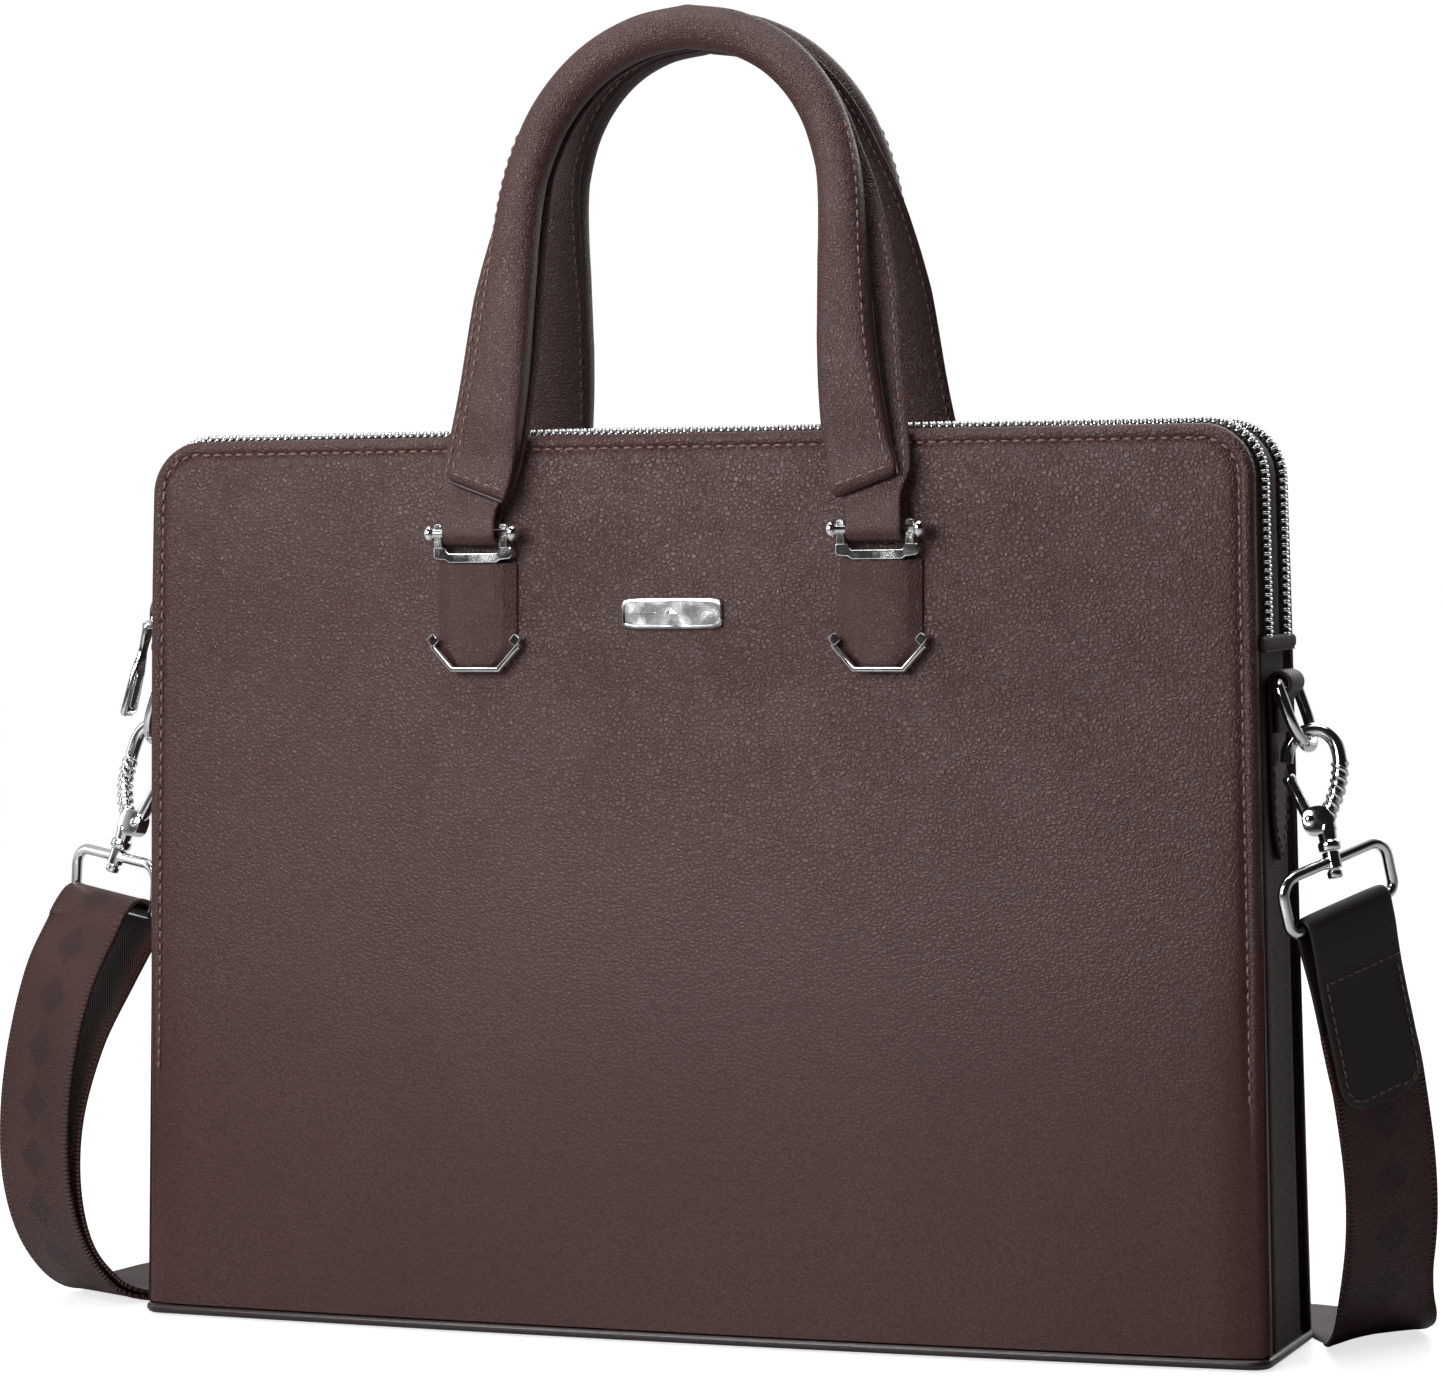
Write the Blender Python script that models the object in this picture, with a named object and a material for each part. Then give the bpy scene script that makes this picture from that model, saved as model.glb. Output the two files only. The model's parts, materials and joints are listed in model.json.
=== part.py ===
"""Slim double-zip leather briefcase with two rolled handles and a webbing shoulder strap.

Driving dimensions are millimetres; mesh_object writes metres.
Origin: centre of the base underside. The front faces -Y, +X is to the right of it and +Z is up.
"""

import math

import bmesh
import bpy
from mathutils import Vector

MM = 0.001
GAP = 0.3  # clearance kept between neighbouring pieces

# Body
BODY_HEIGHT = 287.0
HALF_WIDTH_BASE = 190.0
HALF_WIDTH_TOP = 185.5
HALF_DEPTH_BASE = 31.0
HALF_DEPTH_TOP = 24.0
CORNER_RADIUS = 17.0
FACE_CROWN = 5.0  # how far the middle of each face swells near the base
CROWN_TOP = 205.0  # the face is flat above this height
PANEL_BOTTOM = 3.9
RIM_WIDTH = 5.0
RIM_DEPTH = 5.0
LEATHER = 2.2
BOARD = 1.5
LINING = 0.7
LAYER_INSET = 7.5

# Base
BASE_THICK = 2.4
PIPING_RADIUS = 1.6
PIPING_Z = 1.95

# Zips
ZIP_Y = 11.5
ZIP_END_Z = 222.0
TAPE_INNER_Y = 5.9
TAPE_THICK = 0.8
CHAIN_HALF_WIDTH = 2.6
CHAIN_PROUD = 2.2
STRIP_HALF_WIDTH = 5.5
SLIDER_Z = 231.0
SLIDER_LENGTH = 13.0
PULL_LENGTH = 31.0
PULL_TILT = math.radians(16.0)

# Handles and their mounts
MOUNT_X = 68.0
PIN_Z = 256.0
PIN_OFF = 6.0  # pin axis in front of the leather face
PIN_RADIUS = 1.5
PLATE_HALF_WIDTH = 13.5
PLATE_TOP = 246.3
PLATE_BOTTOM = 213.5
PLATE_CHAMFER = 6.0
BRACKET_HEIGHT = 5.0
SADDLE_HEIGHT = 3.2  # the bracket is lower between its lugs, under the strap
LUG_INNER = 9.9
LUG_OUTER = 12.4
LUG_OVER_PIN = 3.2
PIN_REACH = 16.2
PIN_BALL = [(0.0, 0.8), (1.0, 2.2), (2.3, 2.6), (3.3, 1.9)]  # (distance from the pin's end, radius)
LOOP_STRIP = 18.0  # width of the strap where it turns round the pin
HANDLE_RISE = 161.0
HANDLE_LEAN = math.radians(10.1)
STRAP_LEATHER = 1.6

# Side fittings
LOOP_HALF_WIDTH = 9.0
LOOP_THICK = 1.8
D_BAR_Z = 207.5
D_WIRE = 1.8
D_BAR_OUT = D_WIRE + GAP + 0.2 + LOOP_THICK + GAP  # D-ring bar axis outside the gusset face
D_TILT = math.radians(20.0)
D_HALF_WIDTH = 11.5
D_DROP = 21.0
RING_WIRE = 1.75
RING_HALF_WIDTH = 22.2
RING_HEIGHT = 17.0
HOOK_WIRE = 2.0
HEAD_LOW = 3.3  # underside of the swivel head over the middle of the ring's wire
HOOK_CLEAR = 0.8  # play between the hook's bend and the D-ring
LEFT_HOOK_TURN = -12.0
RIGHT_HOOK_TURN = 8.0
WEB_WIDTH = 38.0
WEB_THICK = 1.4


# ---------------------------------------------------------------- materials


def material(name, rgb, roughness, metallic=0.0):
    """A Principled material, made once and shared by name."""
    found = bpy.data.materials.get(name)
    if found:
        return found
    made = bpy.data.materials.new(name)
    made.use_nodes = True
    shader = made.node_tree.nodes["Principled BSDF"]
    shader.inputs["Base Color"].default_value = (*rgb, 1.0)
    shader.inputs["Roughness"].default_value = roughness
    shader.inputs["Metallic"].default_value = metallic
    return made


def leather():
    return material("leather", (0.060, 0.032, 0.025), 0.48)


def dark_leather():
    return material("dark_leather", (0.028, 0.014, 0.012), 0.5)


def lining_cloth():
    return material("lining_cloth", (0.10, 0.085, 0.07), 0.85)


def board_stock():
    return material("board", (0.35, 0.30, 0.24), 0.9)


def chrome():
    return material("chrome", (0.85, 0.85, 0.86), 0.12, 1.0)


def zip_metal():
    return material("zip_metal", (0.62, 0.62, 0.64), 0.28, 1.0)


def webbing_cloth():
    return material("webbing", (0.055, 0.028, 0.022), 0.6)


# ---------------------------------------------------------------- mesh tools


def mesh_object(name, points, faces, stock, origin=(0, 0, 0), smooth=35.0):
    """Make one closed object from world points in millimetres, with its origin at origin."""
    base = Vector(origin)
    mesh = bpy.data.meshes.new(name)
    mesh.from_pydata([(Vector(p) - base) * MM for p in points], [], faces)
    work = bmesh.new()
    work.from_mesh(mesh)
    bmesh.ops.recalc_face_normals(work, faces=work.faces)
    work.to_mesh(mesh)
    work.free()
    mesh.shade_smooth()
    mesh.set_sharp_from_angle(angle=math.radians(smooth))
    made = bpy.data.objects.new(name, mesh)
    made.location = base * MM
    made.data.materials.append(stock)
    bpy.context.scene.collection.objects.link(made)
    return made


def loft(rings, closed=False):
    """Points and faces of a skin over rings with equal counts, capped unless closed."""
    count = len(rings[0])
    points = [p for ring in rings for p in ring]
    faces = []
    spans = len(rings) if closed else len(rings) - 1
    for i in range(spans):
        a = i * count
        b = ((i + 1) % len(rings)) * count
        for j in range(count):
            k = (j + 1) % count
            faces.append((a + j, a + k, b + k, b + j))
    if not closed:
        faces.append(tuple(range(count))[::-1])
        last = (len(rings) - 1) * count
        faces.append(tuple(range(last, last + count)))
    return points, faces


def section_ring(point, across, out, outline):
    """Place a 2D outline (across, out) at a point."""
    return [point + across * a + out * b for a, b in outline]


def rectangle(half_a, low_b, high_b):
    return [(-half_a, low_b), (half_a, low_b), (half_a, high_b), (-half_a, high_b)]


def circle(radius, count):
    return [
        (radius * math.cos(2 * math.pi * i / count), radius * math.sin(2 * math.pi * i / count))
        for i in range(count)
    ]


def smooth_path(points, steps):
    """Catmull-Rom curve through rows of numbers, steps per span."""
    rows = [Vector(p) for p in points]
    rows = [2 * rows[0] - rows[1]] + rows + [2 * rows[-1] - rows[-2]]
    out = []
    for i in range(1, len(rows) - 2):
        for k in range(steps):
            t = k / steps
            a = 2 * rows[i]
            b = rows[i + 1] - rows[i - 1]
            c = 2 * rows[i - 1] - 5 * rows[i] + 4 * rows[i + 1] - rows[i + 2]
            d = -rows[i - 1] + 3 * rows[i] - 3 * rows[i + 1] + rows[i + 2]
            out.append((a + b * t + c * t * t + d * t * t * t) * 0.5)
    out.append(rows[-2].copy())
    return out


def wire(path, radius, count, closed=False, guide=Vector((0, 1, 0))):
    """Rings of a round wire along a path; guide is any direction off the path's own plane."""
    rings = []
    total = len(path)
    for i, point in enumerate(path):
        before = path[i - 1] if i or closed else path[i]
        after = path[(i + 1) % total] if i < total - 1 or closed else path[i]
        along = (after - before).normalized()
        side = along.cross(guide).normalized()
        up = side.cross(along).normalized()
        rings.append(section_ring(point, side, up, circle(radius, count)))
    return rings


def prism(outline, axis_low, axis_high, place):
    """Extrude a 2D outline between two levels; place turns (a, b, level) into a point."""
    rings = [[place(a, b, level) for a, b in outline] for level in (axis_low, axis_high)]
    return loft(rings)


def bevel(piece, width, segments=2):
    edge = piece.modifiers.new("edge", "BEVEL")
    edge.width = width * MM
    edge.segments = segments
    edge.limit_method = "ANGLE"
    edge.angle_limit = math.radians(40)
    return piece


def drill(piece, centre, radius, half_length):
    """Cut a round hole along X through a piece."""
    rings = [
        [Vector((centre[0] + end, centre[1] + a, centre[2] + b)) for a, b in circle(radius, 16)]
        for end in (-half_length, half_length)
    ]
    cutter = mesh_object(piece.name + "_hole", *loft(rings), chrome())
    cutter.hide_render = True
    cutter.display_type = "WIRE"
    cut = piece.modifiers.new("hole", "BOOLEAN")
    cut.operation = "DIFFERENCE"
    cut.object = cutter


def parent_to(child, parent):
    child.parent = parent
    child.matrix_parent_inverse = parent.matrix_basis.inverted()


# ---------------------------------------------------------------- body shape


def side_x(z):
    """Half-width of the body at a height, without the top corners."""
    return HALF_WIDTH_BASE + (HALF_WIDTH_TOP - HALF_WIDTH_BASE) * z / BODY_HEIGHT


def half_depth(z):
    return HALF_DEPTH_BASE + (HALF_DEPTH_TOP - HALF_DEPTH_BASE) * z / BODY_HEIGHT


def outline_x(z, inset):
    """Half-width of the rounded outline moved inwards by inset."""
    centre = BODY_HEIGHT - CORNER_RADIUS
    if z <= centre:
        return side_x(z) - inset
    radius = CORNER_RADIUS - inset
    rise = min(z - centre, radius)
    return side_x(centre) - CORNER_RADIUS + math.sqrt(radius * radius - rise * rise)


def crown(x, z):
    if z >= CROWN_TOP:
        return 0.0
    across = 1 - (x / side_x(z)) ** 2
    return FACE_CROWN * max(across, 0.0) * (1 - (z / CROWN_TOP) ** 2)


def face_y(side, x, z, depth):
    """Y of the surface lying depth inside a face; side is -1 for the front and 1 for the rear."""
    return side * (half_depth(z) + crown(x, z) - depth)


def on_face(side, x, off, z):
    """A point off millimetres outside the leather of a face."""
    return Vector((x, side * (half_depth(z) + off), z))


def row_levels(bottom, inset):
    """Heights of a layer's rows, closer together round the top corners."""
    centre = BODY_HEIGHT - CORNER_RADIUS
    radius = CORNER_RADIUS - inset
    levels = [bottom + (centre - bottom) * i / 7 for i in range(8)]
    levels += [centre + radius * math.sin(math.radians(a)) for a in (20, 40, 57, 72, 90)]
    return levels


def layer(name, side, outer, thickness, inset, bottom, stock):
    """A thin layer that follows a face of the body."""
    shares = [-1 + 2 * i / 10 for i in range(11)]
    rings = []
    for z in row_levels(bottom, inset):
        reach = outline_x(z, inset)
        near = [Vector((t * reach, face_y(side, t * reach, z, outer), z)) for t in shares]
        far = [
            Vector((t * reach, face_y(side, t * reach, z, outer + thickness), z))
            for t in reversed(shares)
        ]
        rings.append(near + far)
    return mesh_object(name, *loft(rings), stock)


def leather_panel(name, side):
    """Outer leather of one face, with a thicker turned rim that stands back to the zip."""
    rim = RIM_WIDTH
    step = 0.6
    levels = row_levels(PANEL_BOTTOM, 0)
    levels += [PANEL_BOTTOM + rim, PANEL_BOTTOM + rim + step]
    levels += [BODY_HEIGHT - rim, BODY_HEIGHT - rim - step]
    levels = sorted(set(levels))
    rings = []
    for z in levels:
        reach = outline_x(z, 0)
        field = PANEL_BOTTOM + rim + step <= z <= BODY_HEIGHT - rim - step
        xs = [-reach, -reach + rim, -reach + rim + step]
        inner = reach - rim - step
        xs += [-inner + 2 * inner * i / 8 for i in range(1, 8)]
        xs += [inner, reach - rim, reach]
        near = [Vector((x, face_y(side, x, z, 0), z)) for x in xs]
        far = []
        for x in reversed(xs):
            depth = LEATHER if field and abs(x) <= inner + 0.01 else RIM_DEPTH
            far.append(Vector((x, face_y(side, x, z, depth), z)))
        rings.append(near + far)
    return mesh_object(name, *loft(rings), leather())


def outline_path(inset, start):
    """(point, outward direction) along the sides and top of the body, from left to right."""
    centre = BODY_HEIGHT - CORNER_RADIUS
    radius = CORNER_RADIUS - inset
    arc_x = side_x(centre) - CORNER_RADIUS
    out = []
    for z in [start + (centre - start) * i / 4 for i in range(4)]:
        out.append((Vector((-side_x(z) + inset, 0, z)), Vector((-1, 0, 0))))
    for i in range(7):
        turn = math.radians(180 - 15 * i)
        way = Vector((math.cos(turn), 0, math.sin(turn)))
        out.append((Vector((-arc_x, 0, centre)) + way * radius, way))
    for i in range(1, 8):
        x = -arc_x + 2 * arc_x * i / 8
        out.append((Vector((x, 0, BODY_HEIGHT - inset)), Vector((0, 0, 1))))
    mirrored = []
    for point, way in reversed(out[:11]):
        mirrored.append((Vector((-point.x, 0, point.z)), Vector((-way.x, 0, way.z))))
    return out + mirrored


def run_along_outline(name, low_y, high_y, deep, proud, start, stock, follow_depth=False):
    """A strip of rectangular section that follows the outline between two Y values."""
    rings = []
    for point, way in outline_path(0, start):
        far = high_y
        if follow_depth:
            far = math.copysign(half_depth(point.z) - RIM_DEPTH - GAP, high_y)
        rings.append(
            [
                point + Vector((0, low_y, 0)) - way * deep,
                point + Vector((0, far, 0)) - way * deep,
                point + Vector((0, far, 0)) + way * proud,
                point + Vector((0, low_y, 0)) + way * proud,
            ]
        )
    return mesh_object(name, *loft(rings), stock)


def build_faces():
    for word, side in (("front", -1), ("rear", 1)):
        leather_panel(word + "_panel", side)
        low = PANEL_BOTTOM + RIM_WIDTH + 1.5
        first = LEATHER + GAP
        layer(word + "_board", side, first, BOARD, LAYER_INSET, low, board_stock())
        second = first + BOARD + GAP
        layer(word + "_lining", side, second, LINING, LAYER_INSET, low, lining_cloth())


def base_outline(inset):
    """Outline of the base with the crowned long edges, anticlockwise."""
    reach = HALF_WIDTH_BASE - inset
    soft = 5.0
    out = []
    for side in (-1, 1):
        xs = [(-1 + 2 * i / 10) * (reach - soft) for i in range(11)]
        if side > 0:
            xs.reverse()
        edge = [(x, face_y(side, x, 0, inset)) for x in xs]
        corner_x = math.copysign(reach, xs[-1])
        corner_y = face_y(side, reach, 0, inset)
        out += edge
        out.append((corner_x - math.copysign(soft * 0.3, corner_x), corner_y - side * soft * 0.3))
        out.append((corner_x, corner_y - side * soft))
        out.append((corner_x, 0.0))
        out.append((corner_x, -(corner_y - side * soft)))
        out.append((corner_x - math.copysign(soft * 0.3, corner_x), -(corner_y - side * soft * 0.3)))
    return out


def build_base():
    def place(a, b, level):
        return Vector((a, b, level))

    low = base_outline(2 * PIPING_RADIUS + GAP)
    mesh_object("base_panel", *prism(low, 0.0, BASE_THICK, place), leather())
    board = base_outline(RIM_DEPTH + 2.5)
    floor = BASE_THICK + GAP
    mesh_object("base_board", *prism(board, floor, floor + BOARD, place), board_stock())
    path = [Vector((x, y, PIPING_Z)) for x, y in base_outline(PIPING_RADIUS * 0.7)]
    rings = wire(path, PIPING_RADIUS, 8, closed=True, guide=Vector((0, 0, 1)))
    mesh_object("base_piping", *loft(rings, closed=True), dark_leather())


def gusset(word, side):
    """Side wall with a fold beside its flat middle, from the base up to the zip ends."""
    rings = []
    top = ZIP_END_Z - 4.5
    for i in range(9):
        z = PANEL_BOTTOM + (top - PANEL_BOTTOM) * i / 8
        edge = half_depth(z) - RIM_DEPTH - GAP
        fold = 2.0 + 2.5 * (1 - z / top)
        middle = edge * 0.62
        bends = [(-edge, 1.0), (-(edge + middle) / 2, 1.0 + fold), (-middle, 1.4)]
        bends += [(-b, d) for b, d in reversed(bends)]
        outer = [Vector((side * (side_x(z) - d), y, z)) for y, d in bends]
        inner = [Vector((side * (side_x(z) - d - 1.4), y, z)) for y, d in reversed(bends)]
        rings.append(outer + inner)
    mesh_object(word + "_gusset", *loft(rings), leather())


def zip_end_tab(word, side):
    """Stitched leather tab that covers the zip ends."""
    z = ZIP_END_Z - 2.3
    edge = half_depth(z) - RIM_DEPTH - GAP

    def place(a, b, level):
        return Vector((side * (side_x(z) + b), a, z + level))

    outline = rectangle(edge, -1.0, 1.2)
    bevel(mesh_object(word + "_zip_end_tab", *prism(outline, -2.0, 2.0, place), leather()), 0.5)


def build_zips():
    start = ZIP_END_Z
    run_along_outline("centre_strip", -STRIP_HALF_WIDTH, STRIP_HALF_WIDTH, 1.8, 0.2, start, leather())
    for word, side in (("front", -1), ("rear", 1)):
        run_along_outline(
            word + "_zip_tape",
            side * TAPE_INNER_Y,
            side * 18.0,
            1.0 + TAPE_THICK,
            -1.0,
            start,
            dark_leather(),
            follow_depth=True,
        )
        run_along_outline(
            word + "_zip_chain",
            side * ZIP_Y - CHAIN_HALF_WIDTH,
            side * ZIP_Y + CHAIN_HALF_WIDTH,
            0.6,
            CHAIN_PROUD,
            start,
            zip_metal(),
        )
    for word, side in (("left", -1), ("right", 1)):
        gusset(word, side)
        zip_end_tab(word, side)


def build_divider():
    """Padded wall between the two compartments."""
    rings = []
    low = PANEL_BOTTOM + BOARD + 1.0
    for z in row_levels(low, 4.0):
        reach = outline_x(z, 4.0) - 3.0 * (z < ZIP_END_Z)
        rings.append(
            [
                Vector((-reach, -1.2, z)),
                Vector((reach, -1.2, z)),
                Vector((reach, 1.2, z)),
                Vector((-reach, 1.2, z)),
            ]
        )
    mesh_object("divider", *loft(rings), lining_cloth())


def zip_slider(word, side):
    """Slider on the left run of a zip, with its hanging pull."""
    x = -side_x(SLIDER_Z)
    half = SLIDER_LENGTH / 2
    wide = CHAIN_HALF_WIDTH + 2.0
    inner = CHAIN_HALF_WIDTH + GAP
    cap = CHAIN_PROUD + GAP
    outline = [
        (-wide, -0.5),
        (-inner, -0.5),
        (-inner, cap),
        (inner, cap),
        (inner, -0.5),
        (wide, -0.5),
        (wide, cap + 0.9),
        (wide - 1.2, cap + 1.6),
        (1.5, cap + 1.6),
        (1.5, cap + 2.4),
        (-1.5, cap + 2.4),
        (-1.5, cap + 1.6),
        (-wide + 1.2, cap + 1.6),
        (-wide, cap + 0.9),
    ]

    def place(a, b, level):
        z = SLIDER_Z + level
        return Vector((-side_x(z) - b, side * ZIP_Y + a, z))

    shape = prism(outline, -half, half, place)
    slider = mesh_object(word + "_zip_slider", *shape, chrome(), (x, side * ZIP_Y, SLIDER_Z))

    # The pull: a flat bar with an eye, hanging from the slider and leaning away from the side.
    hinge = Vector((x - cap - 4.6, side * ZIP_Y, SLIDER_Z - half + 2.0))
    down = Vector((-math.sin(PULL_TILT), 0, -math.cos(PULL_TILT)))
    out = Vector((-math.cos(PULL_TILT), 0, math.sin(PULL_TILT)))
    across = Vector((0, 1, 0))
    stations = [
        (-1.6, 2.6, 0.9),
        (-0.8, 3.4, 1.1),
        (4.0, 3.2, 1.1),
        (9.0, 2.6, 1.0),
        (13.0, 4.0, 1.2),
        (PULL_LENGTH - 2.0, 4.6, 1.3),
        (PULL_LENGTH, 3.6, 1.0),
    ]
    rings = []
    for drop, half_width, half_thick in stations:
        outline = rectangle(half_width, -half_thick, half_thick)
        rings.append(section_ring(hinge + down * drop, across, out, outline))
    pull = mesh_object(word + "_zip_pull", *loft(rings), chrome(), hinge)
    bevel(pull, 0.4)
    parent_to(pull, slider)


# ---------------------------------------------------------------- handles


def handle_mount(word, side, x):
    """Leather-covered plate with a chrome bracket, a chrome lower trim and the handle pin."""
    half = PLATE_HALF_WIDTH
    cut = PLATE_CHAMFER

    def foot(grow):
        return [
            (-half - grow, PLATE_BOTTOM + cut),
            (-half + cut - grow * 0.4, PLATE_BOTTOM - grow),
            (half - cut + grow * 0.4, PLATE_BOTTOM - grow),
            (half + grow, PLATE_BOTTOM + cut),
        ]

    def place(a, b, level):
        return on_face(side, x + a, level, b)

    top = [(half, PLATE_TOP), (-half, PLATE_TOP)]
    plate = mesh_object(word + "_plate", *prism(foot(0) + top, GAP, 3.6, place), leather())
    bevel(plate, 0.6)
    outline = foot(2.0) + foot(GAP)[::-1]
    bevel(mesh_object(word + "_trim", *prism(outline, GAP, 4.0, place), chrome()), 0.4)

    low = PLATE_TOP + GAP
    shoulder = low + BRACKET_HEIGHT
    saddle = low + SADDLE_HEIGHT
    lugs_top = PIN_Z + LUG_OVER_PIN
    bar = [
        (-half, low),
        (half, low),
        (half, shoulder),
        (LUG_OUTER, shoulder),
        (LUG_OUTER, lugs_top),
        (LUG_INNER, lugs_top),
        (LUG_INNER, saddle),
        (-LUG_INNER, saddle),
        (-LUG_INNER, lugs_top),
        (-LUG_OUTER, lugs_top),
        (-LUG_OUTER, shoulder),
        (-half, shoulder),
    ]
    bracket = mesh_object(word + "_bracket", *prism(bar, GAP, PIN_OFF + 2.6, place), chrome())
    axis = on_face(side, x, PIN_OFF, PIN_Z)
    drill(bracket, axis, PIN_RADIUS + GAP, half + 3)

    # Turned pin with a ball at each end.
    profile = [(-PIN_REACH + shift, radius) for shift, radius in PIN_BALL]
    profile.append((-LUG_OUTER - GAP - 0.1, PIN_RADIUS))
    profile += [(-a, r) for a, r in reversed(profile)]
    rings = []
    for a, radius in profile:
        spot = axis + Vector((a, 0, 0))
        rings.append(section_ring(spot, Vector((0, 1, 0)), Vector((0, 0, 1)), circle(radius, 12)))
    mesh_object(word + "_pin", *loft(rings), chrome())


def handle_frame(side):
    """(origin on the pin axis, up in the handle's plane, outward) of a handle."""
    origin = on_face(side, 0, PIN_OFF, PIN_Z)
    up = Vector((0, -side * math.sin(HANDLE_LEAN), math.cos(HANDLE_LEAN)))
    out = Vector((0, side * math.cos(HANDLE_LEAN), math.sin(HANDLE_LEAN)))
    return origin, up, out


# Half of the arch as (distance from the middle, height over the pins); the other half mirrors it.
ARCH = [
    (68.0, 3.5),
    (67.0, 12.0),
    (64.5, 26.0),
    (62.0, 45.0),
    (60.0, 68.0),
    (57.5, 92.0),
    (53.0, 115.0),
    (44.5, 135.0),
    (32.0, 149.5),
    (16.5, 158.0),
    (0.0, HANDLE_RISE),
]


def arch_stations():
    """(point, tangent) in the handle's plane from the left foot to the right foot."""
    half = smooth_path([(-a, b, 0) for a, b in ARCH], 2)
    points = half + [Vector((-p.x, p.y, 0)) for p in reversed(half[:-1])]
    out = []
    for i, point in enumerate(points):
        before = points[max(i - 1, 0)]
        after = points[min(i + 1, len(points) - 1)]
        out.append((point, (after - before).normalized()))
    return out


def blend_values(rows, s):
    """Read rows of (s, value) with straight lines between them."""
    if s <= rows[0][0]:
        return rows[0][1]
    for (a, va), (b, vb) in zip(rows, rows[1:]):
        if s <= b:
            return va + (vb - va) * (s - a) / (b - a)
    return rows[-1][1]


# Handle sections as (height over the pins, value): widths, the grip's rise and its shift to the centre.
STRAP_WIDTH = [(4, 18), (8, 18), (16, 26.5), (30, 27), (75, 25), (100, 19), (120, 13), (160, 11)]
GRIP_WIDTH = [(10, 21.5), (30, 21), (60, 18), (90, 15.5), (115, 14), (160, 14)]
GRIP_RISE = [(10, 2.6), (20, 4.2), (35, 8.0), (60, 10.5), (90, 12), (160, 12)]
GRIP_SHIFT = [(10, 2.0), (30, 2.4), (60, 3.2), (85, 2.8), (115, 0.6), (130, 0), (160, 0)]


def handle(word, side):
    """Base strap looped round both pins, the rolled grip over it and the cord inside the grip."""
    origin, up, out = handle_frame(side)

    def world(x, a, s):
        return origin + Vector((x, 0, 0)) + out * a + up * s

    stations = arch_stations()
    across_x = Vector((1, 0, 0))

    # The loop round a pin: the strip passes in front of the pin, under it and up behind it.
    loop_radius = PIN_RADIUS + GAP + 0.3 + STRAP_LEATHER / 2
    loop = [(-loop_radius, 8.6), (-loop_radius, 4.0)]
    loop += [
        (loop_radius * math.cos(math.radians(t)), loop_radius * math.sin(math.radians(t)))
        for t in range(180, 361, 30)
    ]
    loop += [(loop_radius, 3.0)]
    half_thick = STRAP_LEATHER / 2

    def loop_rings(x, sign):
        made = []
        for i, (a, s) in enumerate(loop):
            before = loop[max(i - 1, 0)]
            after = loop[min(i + 1, len(loop) - 1)]
            turn = Vector((after[0] - before[0], after[1] - before[1])).normalized()
            normal = out * turn.y - up * turn.x
            centre = world(x, a, s)
            outline = rectangle(LOOP_STRIP / 2, -half_thick, half_thick)
            made.append(section_ring(centre, across_x, normal, outline))
        return made if sign > 0 else made[::-1]

    rings = loop_rings(-MOUNT_X, 1)
    for point, way in stations:
        if point.y < 4.5:
            continue
        normal_in_plane = Vector((way.y, -way.x))
        width_dir = across_x * normal_in_plane.x + up * normal_in_plane.y
        s = point.y
        lift = blend_values([(4, loop_radius), (14, loop_radius * 0.5), (24, 0)], s)
        half_width = blend_values(STRAP_WIDTH, s) / 2
        outline = rectangle(half_width, -half_thick, half_thick)
        rings.append(section_ring(world(point.x, lift, s), width_dir, out, outline))
    rings += loop_rings(MOUNT_X, -1)
    strap = mesh_object(word + "_handle_strap", *loft(rings), leather(), origin)

    grip_rings = []
    core_rings = []
    for point, way in stations:
        s = point.y
        if s < 9:
            continue
        normal_in_plane = Vector((way.y, -way.x))
        width_dir = across_x * normal_in_plane.x + up * normal_in_plane.y
        offset = math.copysign(blend_values(GRIP_SHIFT, s), -point.x)
        base = world(point.x, 0, s) + across_x * offset
        lift = blend_values([(4, loop_radius), (14, loop_radius * 0.5), (24, 0)], s)
        floor = half_thick + GAP + lift
        half_width = blend_values(GRIP_WIDTH, s) / 2
        rise = blend_values(GRIP_RISE, s)
        outline = []
        for t in range(0, 181, 20):
            turn = math.radians(t)
            outline.append((half_width * math.cos(turn), floor + rise * math.sin(turn)))
        for t in range(180, -1, -30):
            turn = math.radians(t)
            inner = max(rise - 2.0, 0.4)
            outline.append(((half_width - 2.0) * math.cos(turn), floor + inner * math.sin(turn)))
        grip_rings.append(section_ring(base, width_dir, out, outline))
        if s > 60:
            radius = min(half_width - 2.0, (rise - 2.0) / 2) * 0.7
            centre = base + out * (floor + radius + 0.3)
            core_rings.append(section_ring(centre, width_dir, out, circle(radius, 8)))
    grip = mesh_object(word + "_handle_grip", *loft(grip_rings), leather(), origin)
    core = mesh_object(word + "_handle_core", *loft(core_rings), board_stock(), origin)
    parent_to(grip, strap)
    parent_to(core, strap)


def build_handles():
    for word, side in (("front", -1), ("rear", 1)):
        for hand, x in (("left", -MOUNT_X), ("right", MOUNT_X)):
            handle_mount(word + "_" + hand + "_mount", side, x)
        handle(word, side)


def build_badge():
    """Plain rounded badge plate between the handle mounts."""

    def place(a, b, level):
        return on_face(-1, a - 1.5, level, 230.0 + b)

    outline = [(-17, -4), (-16, -5), (16, -5), (17, -4), (17, 4), (16, 5), (-16, 5), (-17, 4)]
    badge = mesh_object("badge_plate", *prism(outline, GAP, 1.8, place), chrome())
    bevel(badge, 0.35)


# ---------------------------------------------------------------- side fittings


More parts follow.
